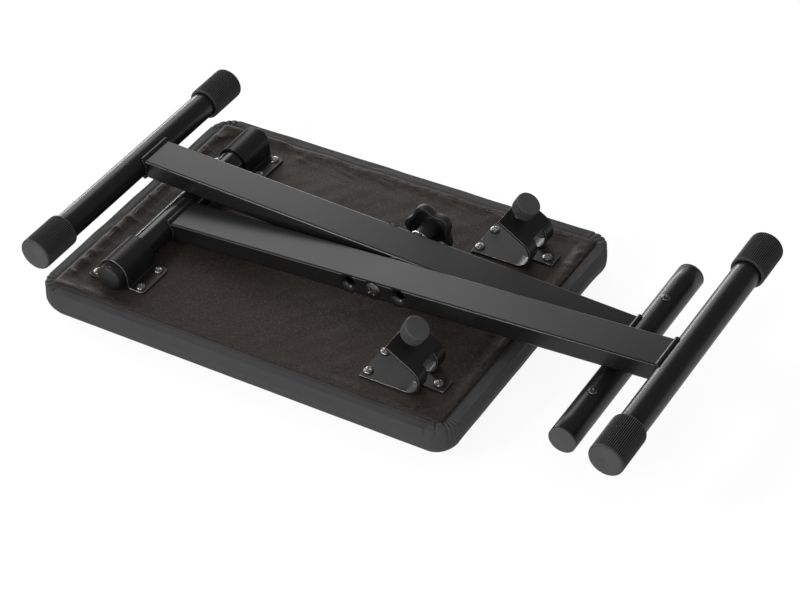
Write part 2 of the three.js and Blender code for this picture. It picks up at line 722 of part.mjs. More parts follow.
// Star knob about Y: domed lobed rim, hollow towards the leg, with a hub down to the washer
function buildStarKnob(x) {
  const [mean, swing] = [(starLobeRadius + starNotchRadius) / 2, (starLobeRadius - starNotchRadius) / 2];
  const rings = starLevelShares.map(([radiusShare, heightShare]) => {
    const ring = [];
    for (let i = 0; i < starPoints; i += 1) {
      const angle = fullTurn * (i / starPoints);
      const radius = (mean + swing * Math.cos(starLobes * (angle - starPhase))) * radiusShare;
      const y = starRimY + starRimHeight * heightShare;
      ring.push(new THREE.Vector3(x + radius * Math.cos(angle), y, radius * Math.sin(angle)));
    }
    return ring;
  });
  const cavityEnd = starRimY + starCavityDepth;
  const shell = cut(stack(rings), barY(x, 0, starRimY - overrun, cavityEnd, starCavityRadius));
  const hub = barY(x, 0, starHubStartY, cavityEnd + overrun, starHubRadius);
  const boreEnd = Math.max(boltEndY, starHubStartY + starInsertLength) + clearance;
  return cut(join(shell, hub), barY(x, 0, starHubStartY - overrun, boreEnd, starInsertRadius + clearance));
}

const bench = new THREE.Group();
bench.name = 'folding_bench';

function addPiece(parent, name, whole, finish) {
  const { vertProperties, triVerts } = whole.getMesh();
  const geometry = new THREE.BufferGeometry();
  geometry.setAttribute('position', new THREE.Float32BufferAttribute(vertProperties, 3));
  geometry.setIndex(new THREE.Uint32BufferAttribute(triVerts, 1));
  const mesh = new THREE.Mesh(geometry, new THREE.MeshStandardMaterial(finishes[finish]));
  mesh.name = name;
  parent.add(mesh);
  return mesh;
}

// Seat and the brackets screwed to its underside
addPiece(bench, 'seat_board', buildBoard(), 'board');
addPiece(bench, 'seat_cushion', buildCushion(), 'foam');
addPiece(bench, 'seat_cover', buildSeatCover(), 'vinyl');
addPiece(bench, 'dust_cover', buildDustCover(), 'cloth');
[['near', -1], ['far', 1]].forEach(([side, sign]) => {
  addPiece(bench, `saddle_${side}`, buildSaddle(sign * saddleSpread), 'bracket');
  addPiece(bench, `hook_clip_${side}`, buildClip(sign * clipSpread), 'bracket');
  addPiece(bench, `weld_nut_${side}`, buildWeldNut(sign * clipSpread), 'zinc');
  const place = curlPoint(curlOuterRadius, upperSheetLength - thumbFromEdge, sign * clipSpread);
  const thumb = new THREE.Group();
  thumb.position.copy(place);
  thumb.rotation.y = upperSheetSlope;
  bench.add(thumb);
  addPiece(thumb, `thumb_knob_${side}`, buildThumbKnob(), 'plastic');
  addPiece(thumb, `thumb_stud_${side}`, buildThumbStud(), 'zinc');
});
screwPlaces.forEach(({ name, x, y }) => {
  addPiece(bench, name, buildScrew(), 'zinc').position.set(x, y, bracketTop);
});

// Frames: leg A turns on the hinge tube, leg B crosses it at the pivot bolt
const topY = [topTubeShift - topTubeLength / 2, topTubeShift + topTubeLength / 2];
const legA = { tag: 'a', foot: 1, near: legANearFace, dish: legANearFace, turn: legAAngle };
const legB = { tag: 'b', foot: -1, near: legBNearFace, dish: legBFarFace, turn: legBAngle };
[{ ...legA, x: hingeX, z: hingeZ }, { ...legB, x: freeX, z: freeZ }].forEach((leg) => {
  const { tag, foot, near, dish, x, z, turn } = leg;
  const domed = tag === 'a';
  const frame = new THREE.Group();
  frame.position.set(x, 0, z);
  frame.rotation.y = -turn;
  bench.add(frame);
  const rivets = domed ? [] : [topTubeShift - rivetSpread, topTubeShift + rivetSpread];
  addPiece(frame, `leg_${tag}_tube`, buildLeg(foot, near, dish), 'frame');
  addPiece(frame, `leg_${tag}_top_tube`, buildRoundTube(0, topTubeShift, topTubeLength, rivets), 'frame');
  addPiece(frame, `leg_${tag}_foot_tube`, buildRoundTube(foot * legLength, 0, footTubeLength), 'frame');
  [['near', -1], ['far', 1]].forEach(([side, sign], i) => {
    addPiece(frame, `leg_${tag}_foot_cap_${side}`, buildFootCap(foot * legLength, sign), 'rubber');
    addPiece(frame, `leg_${tag}_plug_${side}`, buildPlug(topY[i], sign, domed), 'plastic');
  });
  rivets.forEach((y, i) => addPiece(frame, `rivet_${['near', 'far'][i]}`, buildRivet(y), 'zinc'));
  const pivot = foot * pivotFromTop;
  if (domed) {
    const spacerMiddle = (legAFarFace + legBNearFace) / 2;
    const spacerY = [spacerMiddle - spacerThickness / 2, spacerMiddle + spacerThickness / 2];
    addPiece(frame, 'pivot_bolt', buildBolt(pivot), 'zinc');
    addPiece(frame, 'pivot_spacer', buildRing(pivot, ...spacerY, spacerDiameter / 2, holeRadius), 'zinc');
    addPiece(frame, 'star_knob', buildStarKnob(pivot), 'plastic');
    const insertY = [starHubStartY, starHubStartY + starInsertLength];
    addPiece(frame, 'star_knob_insert', buildRing(pivot, ...insertY, starInsertRadius, holeRadius), 'zinc');
  } else {
    const washerY = [legBFarFace + clearance, legBFarFace + clearance + washerThickness];
    addPiece(frame, 'knob_washer', buildRing(pivot, ...washerY, washerDiameter / 2, holeRadius), 'chrome');
  }
});

export default bench;
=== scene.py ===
import math

import bmesh
import bpy
import numpy as np
from mathutils import Matrix, Vector


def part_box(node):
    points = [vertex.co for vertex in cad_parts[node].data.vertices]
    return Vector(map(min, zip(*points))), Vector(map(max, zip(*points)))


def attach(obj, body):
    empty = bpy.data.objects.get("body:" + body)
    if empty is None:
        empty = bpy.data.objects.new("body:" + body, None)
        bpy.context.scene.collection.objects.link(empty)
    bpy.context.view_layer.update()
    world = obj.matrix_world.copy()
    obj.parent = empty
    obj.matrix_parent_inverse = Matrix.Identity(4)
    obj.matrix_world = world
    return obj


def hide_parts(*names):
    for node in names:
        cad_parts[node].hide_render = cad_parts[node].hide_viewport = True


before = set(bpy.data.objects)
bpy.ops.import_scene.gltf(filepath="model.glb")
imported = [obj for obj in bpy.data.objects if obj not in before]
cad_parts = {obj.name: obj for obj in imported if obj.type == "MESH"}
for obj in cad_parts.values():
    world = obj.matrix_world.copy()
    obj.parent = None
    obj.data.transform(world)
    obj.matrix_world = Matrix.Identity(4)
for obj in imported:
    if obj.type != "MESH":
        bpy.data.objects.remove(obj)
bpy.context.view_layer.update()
scene = bpy.context.scene
mm = 0.001

# Camera: the photograph's own view, worked out from the bench's straight edges.
# A long lens a little over two metres away, tilted slightly about its own axis.
photo_width_px, focal_px, sensor_mm = 800, 2269.82, 36
camera_turn, camera_rise, camera_roll = (math.radians(v) for v in (34.222, 39.473, -4.429))
camera_target, camera_distance = Vector((0.05459, 0.03724, -0.0135)), 2.10609
camera_back = Vector((math.sin(camera_turn) * math.cos(camera_rise),
                      -math.cos(camera_turn) * math.cos(camera_rise), math.sin(camera_rise)))
level_side = Vector((math.cos(camera_turn), math.sin(camera_turn), 0))
level_up = camera_back.cross(level_side)
camera_side = level_side * math.cos(camera_roll) + level_up * math.sin(camera_roll)
camera_up = level_up * math.cos(camera_roll) - level_side * math.sin(camera_roll)
camera_data = bpy.data.cameras.new("photo_camera")
camera_data.sensor_width = sensor_mm
camera_data.lens = focal_px * sensor_mm / photo_width_px
camera_data.clip_end = 50  # metres, past the floor's far edge
camera = bpy.data.objects.new("photo_camera", camera_data)
camera.matrix_world = (Matrix.Translation(camera_target + camera_back * camera_distance)
                       @ Matrix((camera_side, camera_up, camera_back)).transposed().to_4x4())
scene.collection.objects.link(camera)
scene.camera = camera


# Studio: a white sweep under soft light. What the camera and shiny metal see of the surroundings
# is white, and the floor keeps a faint contact shadow.
def node(tree, kind, **sockets):
    """A shader node of a kind. Keywords name its inputs, in0 and on count them, and set_ names a
    setting; a socket as a value is joined to the input, and anything else becomes its value."""
    made = tree.nodes.new("ShaderNode" + kind)
    for name, value in sockets.items():
        if name.startswith("set_"):
            setattr(made, name[4:], value)
            continue
        key = int(name[2:]) if name[:2] == "in" and name[2:].isdigit() else name.replace("_", " ")
        if isinstance(value, bpy.types.NodeSocket):
            tree.links.new(value, made.inputs[key])
        else:
            made.inputs[key].default_value = value
    return made


def maths(tree, operation, first, second=0.0, **settings):
    """The result of a maths node on two values."""
    return node(tree, "Math", set_operation=operation, in0=first, in1=second, **settings).outputs[0]


world = bpy.data.worlds.new("white_studio")
world.use_nodes = True
sky = world.node_tree
sky.nodes.clear()
white = (1, 1, 1, 1)
sky_path = node(sky, "LightPath")
seen = maths(sky, "ADD", sky_path.outputs["Is Camera Ray"], sky_path.outputs["Is Glossy Ray"],
             set_use_clamp=True)
seen = maths(sky, "ADD", seen, sky_path.outputs["Is Transmission Ray"], set_use_clamp=True)
sky_light = node(sky, "Background", Color=white, Strength=0.5)
sky_white = node(sky, "Background", Color=white, Strength=1.0)
sky_mix = node(sky, "MixShader", in0=seen, in1=sky_light.outputs[0], in2=sky_white.outputs[0])
node(sky, "OutputWorld", Surface=sky_mix.outputs[0])
scene.world = world

floor_half, floor_level = 6, -0.4 * mm
floor_corners = [(x * floor_half, y * floor_half, floor_level)
                 for x, y in ((-1, -1), (1, -1), (1, 1), (-1, 1))]
floor_mesh = bpy.data.meshes.new("floor")
floor_mesh.from_pydata(floor_corners, [], [(0, 1, 2, 3)])
floor = bpy.data.objects.new("floor", floor_mesh)
scene.collection.objects.link(floor)


def bare_material(name, mesh):
    """A new material with no nodes, put on the mesh."""
    made = bpy.data.materials.new(name)
    made.use_nodes = True
    made.node_tree.nodes.clear()
    mesh.materials.append(made)
    return made


tree = bare_material("white_floor", floor_mesh).node_tree
floor_path = node(tree, "LightPath")
floor_shiny = maths(tree, "ADD", floor_path.outputs["Is Glossy Ray"],
                    floor_path.outputs["Is Transmission Ray"])
floor_any = maths(tree, "ADD", floor_path.outputs["Is Camera Ray"], floor_shiny, set_use_clamp=True)
floor_seen = node(tree, "MapRange", Value=floor_shiny, To_Min=0.86, To_Max=1.0)
floor_part = maths(tree, "MULTIPLY", floor_any, floor_seen.outputs[0])
floor_glow = node(tree, "MapRange", Value=floor_shiny, To_Min=1.06, To_Max=0.6)
floor_matt = node(tree, "BsdfDiffuse", Color=(0.9, 0.9, 0.9, 1))
floor_white = node(tree, "Emission", Color=white, Strength=floor_glow.outputs[0])
floor_mix = node(tree, "MixShader", in0=floor_part, in1=floor_matt.outputs[0],
                 in2=floor_white.outputs[0])
node(tree, "OutputMaterial", Surface=floor_mix.outputs[0])


bench_middle = Vector((0.05, 0, 0.03))


def soft_box(name, place, width, tall, power):
    """A flat rectangular lamp that faces the middle of the bench; metres and watts."""
    lamp = bpy.data.lights.new(name, "AREA")
    lamp.shape, lamp.size, lamp.size_y, lamp.energy = "RECTANGLE", width, tall, power
    holder = bpy.data.objects.new(name, lamp)
    holder.location = place
    holder.rotation_euler = (bench_middle - Vector(place)).to_track_quat("-Z", "Y").to_euler()
    scene.collection.objects.link(holder)


# The back box lights the tops, the rim box the tubes' far edges, and the edge box draws the
# bright line along the legs' near edges.
soft_box("back_box", (-1.25, 1.2, 1.42), 1.0, 1.0, 4.0)
soft_box("left_box", (-2.0, 0.2, 0.9), 0.5, 0.5, 5)
soft_box("rim_box", (-1.7, 1.45, 0.26), 2.2, 0.34, 17)
soft_box("edge_box", (-0.86, -1.47, 1.26), 0.4, 0.4, 14)
soft_box("front_fill", (0.8, -2.1, 0.95), 1.3, 1.3, 12)

# The studio's grey walls: a tent of cloth round the bench, open behind it, seen only in reflections.
tent_radius, tent_grey, opening_turn = 3.2, 0.14, math.radians(37)
opening = Vector((-0.75, 0.64, 0.17)).normalized()
tent_mesh = bpy.data.meshes.new("grey_tent")
shape = bmesh.new()
bmesh.ops.create_icosphere(shape, subdivisions=5, radius=tent_radius)
cut_away = [face for face in shape.faces
            if face.calc_center_median().z < 0
            or face.calc_center_median().normalized().dot(opening) > math.cos(opening_turn)]
bmesh.ops.delete(shape, geom=cut_away, context="FACES")
shape.to_mesh(tent_mesh)
shape.free()
tent = bpy.data.objects.new("grey_tent", tent_mesh)
scene.collection.objects.link(tent)
tent.visible_camera = tent.visible_diffuse = tent.visible_shadow = tent.visible_transmission = False
tent_cloth = bare_material("grey_tent_cloth", tent_mesh)
tent_glow = node(tent_cloth.node_tree, "Emission", Color=white, Strength=tent_grey)
node(tent_cloth.node_tree, "OutputMaterial", Surface=tent_glow.outputs[0])
tent_cloth.cycles.emission_sampling = "NONE"


# Vinyl upholstery: one charcoal sheet drawn over the foam and round the plywood, turned in
# over the underside and gathered into pleats at the four corners.
def group(name, inputs, outputs):
    """A shader node group with named number sockets, and its input and output nodes."""
    made = bpy.data.node_groups.new(name, "ShaderNodeTree")
    for label, value in inputs.items():
        made.interface.new_socket(label, in_out="INPUT", socket_type="NodeSocketFloat").default_value = value
    for label in outputs:
        made.interface.new_socket(label, in_out="OUTPUT", socket_type="NodeSocketFloat")
    return made, made.nodes.new("NodeGroupInput"), made.nodes.new("NodeGroupOutput")


def grain_group():
    """Mottle: broad noise between 0 and 1 for colour and roughness. Height: fine noise for bump."""
    made, source, result = group("mottle_and_grain", {"Broad": 20.0, "Fine": 900.0}, ("Mottle", "Height"))
    place = node(made, "TexCoord")
    broad = node(made, "TexNoise", Vector=place.outputs["Object"], Scale=source.outputs["Broad"],
                 Detail=5.0, Roughness=0.6)
    fine = node(made, "TexNoise", Vector=place.outputs["Object"], Scale=source.outputs["Fine"],
                Detail=3.0, Roughness=0.55)
    made.links.new(broad.outputs[0], result.inputs["Mottle"])
    made.links.new(fine.outputs[0], result.inputs["Height"])
    return made


mottle = grain_group()


def finish_material(name, dark, light, roughness, spread, fine, bump, **principled):
    """Principled surface: colour and roughness run between two values by the broad mottle,
    and the fine noise lifts the surface by the bump height in metres."""
    made = bpy.data.materials.new(name)
    made.use_nodes = True
    tree = made.node_tree
    shader = tree.nodes["Principled BSDF"]
    effect = node(tree, "Group", set_node_tree=mottle, Broad=spread, Fine=fine)
    tint = node(tree, "Mix", set_data_type="RGBA", in0=effect.outputs["Mottle"], in6=(*dark, 1),
                in7=(*light, 1))
    tree.links.new(tint.outputs[2], shader.inputs["Base Color"])
    rough = node(tree, "MapRange", Value=effect.outputs["Mottle"], To_Min=roughness[0],
                 To_Max=roughness[1])
    tree.links.new(rough.outputs[0], shader.inputs["Roughness"])
    relief = node(tree, "Bump", Height=effect.outputs["Height"], Strength=1.0, Distance=bump)
    tree.links.new(relief.outputs[0], shader.inputs["Normal"])
    for key, value in principled.items():
        shader.inputs[key.replace("_", " ")].default_value = value
    return made


def insert(tree, label, way_in, way_out):
    """Puts a node between the shader's named socket and what feeds it."""
    socket = tree.nodes["Principled BSDF"].inputs[label]
    tree.links.new(socket.links[0].from_socket, way_in)
    tree.links.new(way_out, socket)


def emboss(tree, height, strength, distance):
    """Adds a bump to what already feeds the shader's Normal; distance in metres."""
    relief = node(tree, "Bump", Height=height, Strength=strength, Distance=distance)
    insert(tree, "Normal", relief.inputs["Normal"], relief.outputs[0])


def smoothstep(low, high, value):
    """0 below low, 1 above high, and a smooth cubic between."""
    t = np.clip((value - low) / (high - low), 0, 1)
    return t * t * (3 - 2 * t)


def waves(x, y, seed, count, shortest, longest):
    """Sum of seeded plane waves with random direction and phase, about one high."""
    draw = np.random.default_rng(seed)
    total = np.zeros_like(x)
    for _ in range(count):
        angle, phase = draw.uniform(0, 2 * np.pi, 2)
        length = draw.uniform(shortest, longest)
        total += np.sin(2 * np.pi * (x * np.cos(angle) + y * np.sin(angle)) / length + phase)
    return total / count ** 0.5


def solid_of_grid(name, grid, wrap_rows=False, wrap_columns=True, material=None, patches=()):
    """Mesh object in metres from a grid of millimetre points: quads join each row to the next.
    Rows may close on themselves, and so may the run of rows. Open patches are further grids.
    Equal points are merged."""
    points, quads, start = [], [], 0
    for piece, loops, rings in ((grid, wrap_rows, wrap_columns), *((p, False, False) for p in patches)):
        rows, columns = piece.shape[:2]
        r = np.arange(rows if loops else rows - 1)[:, None]
        c = np.arange(columns if rings else columns - 1)[None, :]
        r2, c2 = (r + 1) % rows, (c + 1) % columns
        block = np.stack([r * columns + c, r * columns + c2, r2 * columns + c2, r2 * columns + c], -1)
        quads.append(block.reshape(-1, 4) + start)
        points.append(piece.reshape(-1, 3) * mm)
        start += rows * columns
    mesh = bpy.data.meshes.new(name)
    mesh.from_pydata(np.concatenate(points).tolist(), [], np.concatenate(quads).tolist())
    shape = bmesh.new()
    shape.from_mesh(mesh)
    bmesh.ops.remove_doubles(shape, verts=shape.verts, dist=2e-6)
    bmesh.ops.recalc_face_normals(shape, faces=shape.faces)
    for face in shape.faces:
        face.smooth = True
    shape.to_mesh(mesh)
    shape.free()
    made = bpy.data.objects.new(name, mesh)
    scene.collection.objects.link(made)
    if material:
        mesh.materials.append(material)
    return made


def keep(piece, body, slot, *nodes):
    """The piece rides on a body and stands for CAD nodes; the slot is not used."""
    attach(piece, body)
    if nodes:
        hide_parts(*nodes)
    return piece


seat_half_x, seat_half_y, seat_height = 219, 152, 38.4
corner_radius, face_radius, crown, under_radius, draw_in = 25, 19, 2.5, 1.1, 0.8
corner_steps, long_steps, wide_steps = 54, 66, 46

# One loop of the outline: each corner is a quarter circle, each side runs straight between two.
# A point has two signs, its turn, its share of the corner's turn and its corner, or -1 on a side.
corner_turn = np.linspace(0, 90, corner_steps + 1)
loop = []
for quadrant, (sign_x, sign_y) in enumerate(((1, 1), (-1, 1), (-1, -1), (1, -1))):
    next_x, next_y = ((-1, 1), (-1, -1), (1, -1), (1, 1))[quadrant]
    side_steps = long_steps if next_y == sign_y else wide_steps
    across = np.linspace(0, 1, side_steps + 1)[1:-1]
    for columns in ((sign_x, sign_y, quadrant * 90 + corner_turn, corner_turn / 90, quadrant),
                    (sign_x + (next_x - sign_x) * across, sign_y + (next_y - sign_y) * across,
                     (quadrant + 1) * 90, -1, -1)):
        loop.append(np.stack(np.broadcast_arrays(*columns), 1))
loop = np.concatenate(loop)

# Levels from the middle of the sitting face, round the edge and up the wall to the underside.
middle_inset = 60
face_inset = np.linspace(middle_inset, face_radius + 4, 8)
arc = np.radians(np.linspace(0, 90, 13))
under_arc = np.radians(np.linspace(0, 90, 5))
wall_z = np.linspace(crown + face_radius, seat_height - under_radius, 8)[1:-1]
under_inset = np.concatenate([np.linspace(3.4, 16, 13), np.linspace(18, 30, 6),
                              np.linspace(36, middle_inset, 4)])
crown_reach = 112
crown_share = np.clip((crown_reach - face_inset) / (crown_reach - face_radius), 0, 1)
inset = np.concatenate([face_inset, face_radius * (1 - np.sin(arc)), draw_in * smoothstep(26, 36, wall_z),
                        draw_in + under_radius * (1 - np.cos(under_arc)), under_inset])
level_z = np.concatenate([crown * crown_share ** 2, crown + face_radius * (1 - np.cos(arc)), wall_z,
                          seat_height - under_radius * (1 - np.sin(under_arc)),
                          np.full(len(under_inset), seat_height)])
radius = np.where(inset < face_radius, corner_radius - inset,
                  (corner_radius - face_radius) * (middle_inset - inset) / (middle_inset - face_radius))
turn = np.radians(loop[:, 2])
half_x = (seat_half_x - inset - radius)[:, None]
half_y = (seat_half_y - inset - radius)[:, None]
pad_x = loop[:, 0] * half_x + radius[:, None] * np.cos(turn)
pad_y = loop[:, 1] * half_y + radius[:, None] * np.sin(turn)
pad_z = np.repeat(level_z[:, None], len(loop), 1)


def inside_opening(x, y):
    """Distance inside the vinyl's eight-sided inner edge: the least of the distances to its ends,
    its sides and its cut corners."""
    end, side, corner_sum = 199, 132, 313
    return np.minimum(np.minimum(end - abs(x), side - abs(y)), (corner_sum - abs(x) - abs(y)) / 2 ** 0.5)


# The vinyl steps down to the board inside that edge, and the stapled cloth presses it down along
# the cloth's own edge.
vinyl_step, press_depth, press_width = 1.05, 0.8, 1.3
is_under = (np.arange(len(inset)) >= len(inset) - len(under_inset))[:, None]
pad_z = np.where(is_under, pad_z - vinyl_step * smoothstep(-1, 2.5, inside_opening(pad_x, pad_y)), pad_z)
by_cloth = np.minimum(206.5 - abs(pad_x), 139.5 - abs(pad_y))
pad_z = pad_z - np.where(is_under, press_depth * np.exp(-((by_cloth + 0.9) / press_width) ** 2), 0)

# Pleats: valleys of their own place, width and depth fan out at each corner and fade down the
# wall. The place is the share of the corner's turn.
pleat_shares = (
    ((0.10, 0.035, 1.2), (0.31, 0.022, 0.8), (0.50, 0.02, 1.0), (0.66, 0.026, 0.7), (0.84, 0.03, 1.1)),
    ((0.14, 0.03, 1.0), (0.33, 0.022, 0.9), (0.48, 0.03, 1.1), (0.70, 0.024, 0.8), (0.88, 0.03, 0.9)),
    ((0.12, 0.024, 0.8), (0.28, 0.03, 1.1), (0.47, 0.022, 0.9), (0.63, 0.03, 1.2), (0.86, 0.028, 0.8)),
    ((0.06, 0.04, 1.4), (0.33, 0.024, 0.6), (0.60, 0.022, 1.0), (0.71, 0.02, 1.1), (0.82, 0.02, 1.0),
     (0.93, 0.022, 0.9)))
valley = np.zeros(len(loop))
for quadrant, pleats in enumerate(pleat_shares):
    for place_share, width_share, depth in pleats:
        valley += (loop[:, 4] == quadrant) * depth * np.exp(-((loop[:, 3] - place_share) / width_share) ** 2)
swell = (1 - np.clip(valley, 0, 1)) * np.sin(np.pi * np.clip(loop[:, 3], 0, 1))
on_corner = loop[:, 3] >= 0
down_wall = smoothstep(20, 38, level_z)[:, None]
on_flange = np.where(is_under, smoothstep(34, 20, inset)[:, None], 0)
pull_in = down_wall * np.where(is_under, 0, 1) * (1.2 * valley - 0.3 * swell) * on_corner
pad_x = pad_x - pull_in * np.cos(turn)
pad_y = pad_y - pull_in * np.sin(turn)
swell_share = 0.4 + 0.6 * smoothstep(12, 8, inset)[:, None]
pad_z = pad_z - on_flange * (1.1 * valley - swell_share * swell) * on_corner

# Small puckers on the turned-in edge. The vinyl lies on the board and never sinks into it.
outward = np.minimum(seat_half_x - abs(pad_x), seat_half_y - abs(pad_y))
puckers = np.maximum(0, waves(pad_x, pad_y, 33, 14, 8, 34)) ** 1.4 * smoothstep(1.5, 5, outward)
pad_z = pad_z - np.where(is_under, (0.3 + 0.3 * smoothstep(-150, -200, pad_x)) * puckers, 0)
board_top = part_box("seat_board")[1].z / mm
pad_z = np.where(is_under & (inset[:, None] > 2.5), np.maximum(pad_z, board_top + 0.05), pad_z)

# A little slackness along the straight walls, and the far right corner pushed out.
along = np.arctan2(pad_y / seat_half_y, pad_x / seat_half_x)
slack = 0.22 * (np.sin(17 * along + 0.7) + 0.6 * np.sin(31 * along + 2.1)) * smoothstep(4, 26, pad_z)
push, push_spread = 3.2, 500
corner_push = np.exp(-((pad_x - seat_half_x) ** 2 + (pad_y - seat_half_y) ** 2) / push_spread)
draw = (0.1 * smoothstep(4, 26, pad_z) + slack) * ~is_under - push * corner_push * smoothstep(1, 12, pad_z)
pad_x = pad_x - draw * np.cos(turn)
pad_y = pad_y - draw * np.sin(turn)

# The middle of the face and of the underside are plain grids that meet the rings' last points.
mid_x, mid_y = np.meshgrid(np.linspace(-1, 1, long_steps + 1) * (seat_half_x - middle_inset),
                           np.linspace(-1, 1, wide_steps + 1) * (seat_half_y - middle_inset))
mid_inset = np.minimum(seat_half_x - abs(mid_x), seat_half_y - abs(mid_y))
mid_crown = crown * np.clip((crown_reach - mid_inset) / (crown_reach - face_radius), 0, 1) ** 2
face_middle = np.stack([mid_x, mid_y, mid_crown], -1)
under_middle = np.stack([mid_x, mid_y, 0 * mid_x + pad_z[-1, 0]], -1)

# The vinyl's print: small raised cells between fine creases, as on imitation leather.
vinyl = finish_material("charcoal_vinyl", (0.047, 0.0455, 0.047), (0.064, 0.0615, 0.0642), (0.56, 0.68),
                        28, 1500, 0.05 * mm, Specular_IOR_Level=0.2)
tree = vinyl.node_tree
place = node(tree, "TexCoord")
cells = node(tree, "TexVoronoi", set_feature="DISTANCE_TO_EDGE", Vector=place.outputs["Object"],
             Scale=760.0)
creases = node(tree, "MapRange", Value=cells.outputs["Distance"], From_Min=0.0, From_Max=0.16)
emboss(tree, creases.outputs[0], 0.45, 0.12 * mm)

pad = solid_of_grid("seat_upholstery", np.stack([pad_x, pad_y, pad_z], -1), material=vinyl,
                    patches=(face_middle, under_middle))


def stuffed(piece, held, most):
    """Cloth pressed out from inside for twenty frames; held points stay, and no point moves
    further than most. The result is written to the mesh and nothing rests below the floor."""
    rest = np.empty(len(piece.data.vertices) * 3)
    piece.data.vertices.foreach_get("co", rest)
    rest = rest.reshape(-1, 3)
    pins = piece.vertex_groups.new(name="held")
    pins.add(np.nonzero(held(rest))[0].tolist(), 1.0, "REPLACE")
    cloth = piece.modifiers.new("stuffing", "CLOTH")
    cloth.settings.quality = 5
    cloth.settings.mass = 0.35
    cloth.settings.tension_stiffness = cloth.settings.compression_stiffness = 18
    cloth.settings.bending_stiffness = 2.0
    cloth.settings.use_pressure = True
    cloth.settings.uniform_pressure_force = 4
    cloth.settings.vertex_group_mass = "held"
    cloth.settings.effector_weights.gravity = 0
    cloth.point_cache.frame_start, cloth.point_cache.frame_end = 1, 20
    for step in range(1, 21):
        scene.frame_set(step)
    shown = piece.evaluated_get(bpy.context.evaluated_depsgraph_get())
    moved = np.empty(len(rest) * 3)
    shown.data.vertices.foreach_get("co", moved)
    shift = moved.reshape(-1, 3) - rest
    length = np.linalg.norm(shift, axis=1, keepdims=True)
    shift = shift * np.minimum(1, most / np.maximum(length, 1e-9))
    final = rest + shift
    final[:, 2] = np.maximum(final[:, 2], 0)
    piece.modifiers.remove(cloth)
    piece.vertex_groups.clear()
    piece.data.vertices.foreach_set("co", final.ravel())
    piece.data.update()
    scene.frame_set(1)


def held_by_board(points):
    """The turned-in underside is stapled to the board and the middle of the face rests on the floor."""
    resting = (abs(points[:, 0]) < 0.135) & (abs(points[:, 1]) < 0.07) & (points[:, 2] < 0.01)
    return (points[:, 2] > 0.0355) | resting


stuffed(pad, held_by_board, 1.6 * mm)
smoother = pad.modifiers.new("finer", "SUBSURF")
smoother.levels = smoother.render_levels = 1
keep(pad, "seat", "vinyl", "seat_cover", "seat_cushion")

# Board: twelve millimetre raw plywood under the foam, drilled for the bracket screws. It is the
# solid itself with a wood finish, seen only if the cloth is taken off.
plywood = finish_material("raw_plywood", (0.42, 0.27, 0.13), (0.55, 0.38, 0.2), (0.6, 0.8), 60, 500, 0.1 * mm)
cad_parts["seat_board"].data.materials.clear()
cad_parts["seat_board"].data.materials.append(plywood)

# Dust cover: thin dark woven cloth over the underside, its edge folded under and stapled.
# The corners are trimmed, the far edge wanders and the clip end is a little askew.
cover_half_x, cover_half_y, cover_cut, cover_low, cover_border = 206, 139, 2.5, 38.02, 38.95
u, v = np.meshgrid(np.linspace(-1, 1, 207), np.linspace(-1, 1, 141))
cover_y = v * cover_half_y
reach = cover_half_x - np.maximum(0, abs(cover_y) - (cover_half_y - cover_cut))
cover_x = u * reach
cover_x = cover_x + 2 * np.clip(u, 0, 1) ** 6 * smoothstep(-139, 133, cover_y)
share = np.clip((200 - cover_x) / 400, 0, 1)
cover_y = cover_y + 0.9 * np.sin(12 * np.pi * share) * np.sin(np.pi * share) * np.clip(v, 0, 1) ** 12
edge = np.minimum(np.minimum(reach - abs(cover_x), cover_half_y - abs(v * cover_half_y)),
                  (cover_half_x + cover_half_y - cover_cut - abs(cover_x) - abs(v * cover_half_y)) / 2 ** 0.5)
well = inside_opening(cover_x, cover_y)

# The cloth lies flat under the brackets, wrinkles a little where it is free, and hangs in creases
# by the far edge and at both ends. Its folded hem stands a little higher and puckers.
hem_lift, free_lift, pucker_lift, crease_lift = 0.6, 0.14, 0.14, 0.6
by_saddle = np.maximum(abs(cover_x + 152.3) - 33, abs(abs(cover_y) - 95.5) - 22)
by_clip = np.maximum(abs(cover_x - 151) - 42, abs(abs(cover_y) - 96.5) - 24)
by_bracket = np.minimum(by_saddle, by_clip)
free = smoothstep(0, 14, by_bracket) * smoothstep(0, 16, well)
wrinkle = 0.14 * waves(cover_x, cover_y, 5, 12, 18, 60) + 0.2 * waves(cover_x, cover_y, 15, 6, 60, 140)
hem = smoothstep(0.0, 1.0, edge) * smoothstep(12.5, 11.0, edge)
slack_side = np.maximum(smoothstep(60, 130, cover_y), smoothstep(150, 190, abs(cover_x)))
crease = crease_lift * np.maximum(0, waves(cover_x + 0.25 * cover_y, 2.2 * cover_y, 21, 9, 15, 48)) ** 1.3
cover_z = cover_low + (cover_border - cover_low) * smoothstep(2.5, -1.5, well)
cover_z = cover_z + hem_lift * hem + free * (free_lift + wrinkle)
cover_z = cover_z + pucker_lift * waves(cover_x, cover_y, 9, 10, 9, 24) * hem
cover_z = cover_z + smoothstep(34, 8, edge) * slack_side * crease * smoothstep(0, 10, by_bracket)

# Staple places along the hem, and the dimple each one pulls into the cloth.
staple_pitch, staple_inset, dimple, dimple_spread = 38, 6, 0.3, 30
staples = []
for side_sign in (-1, 1):
    for x in np.arange(-171, 172, staple_pitch):
        staples.append((x + 3 * side_sign, side_sign * (cover_half_y - staple_inset), 0))
    for y in np.arange(-95, 96, staple_pitch):
        staples.append((side_sign * (cover_half_x - staple_inset), y, 90))
staples = np.array(staples)
for x, y, _ in staples:
    cover_z = cover_z - dimple * np.exp(-((cover_x - x) ** 2 + (cover_y - y) ** 2) / dimple_spread)
lowest_cloth = 37.9
cover_z = np.maximum(cover_z, lowest_cloth)


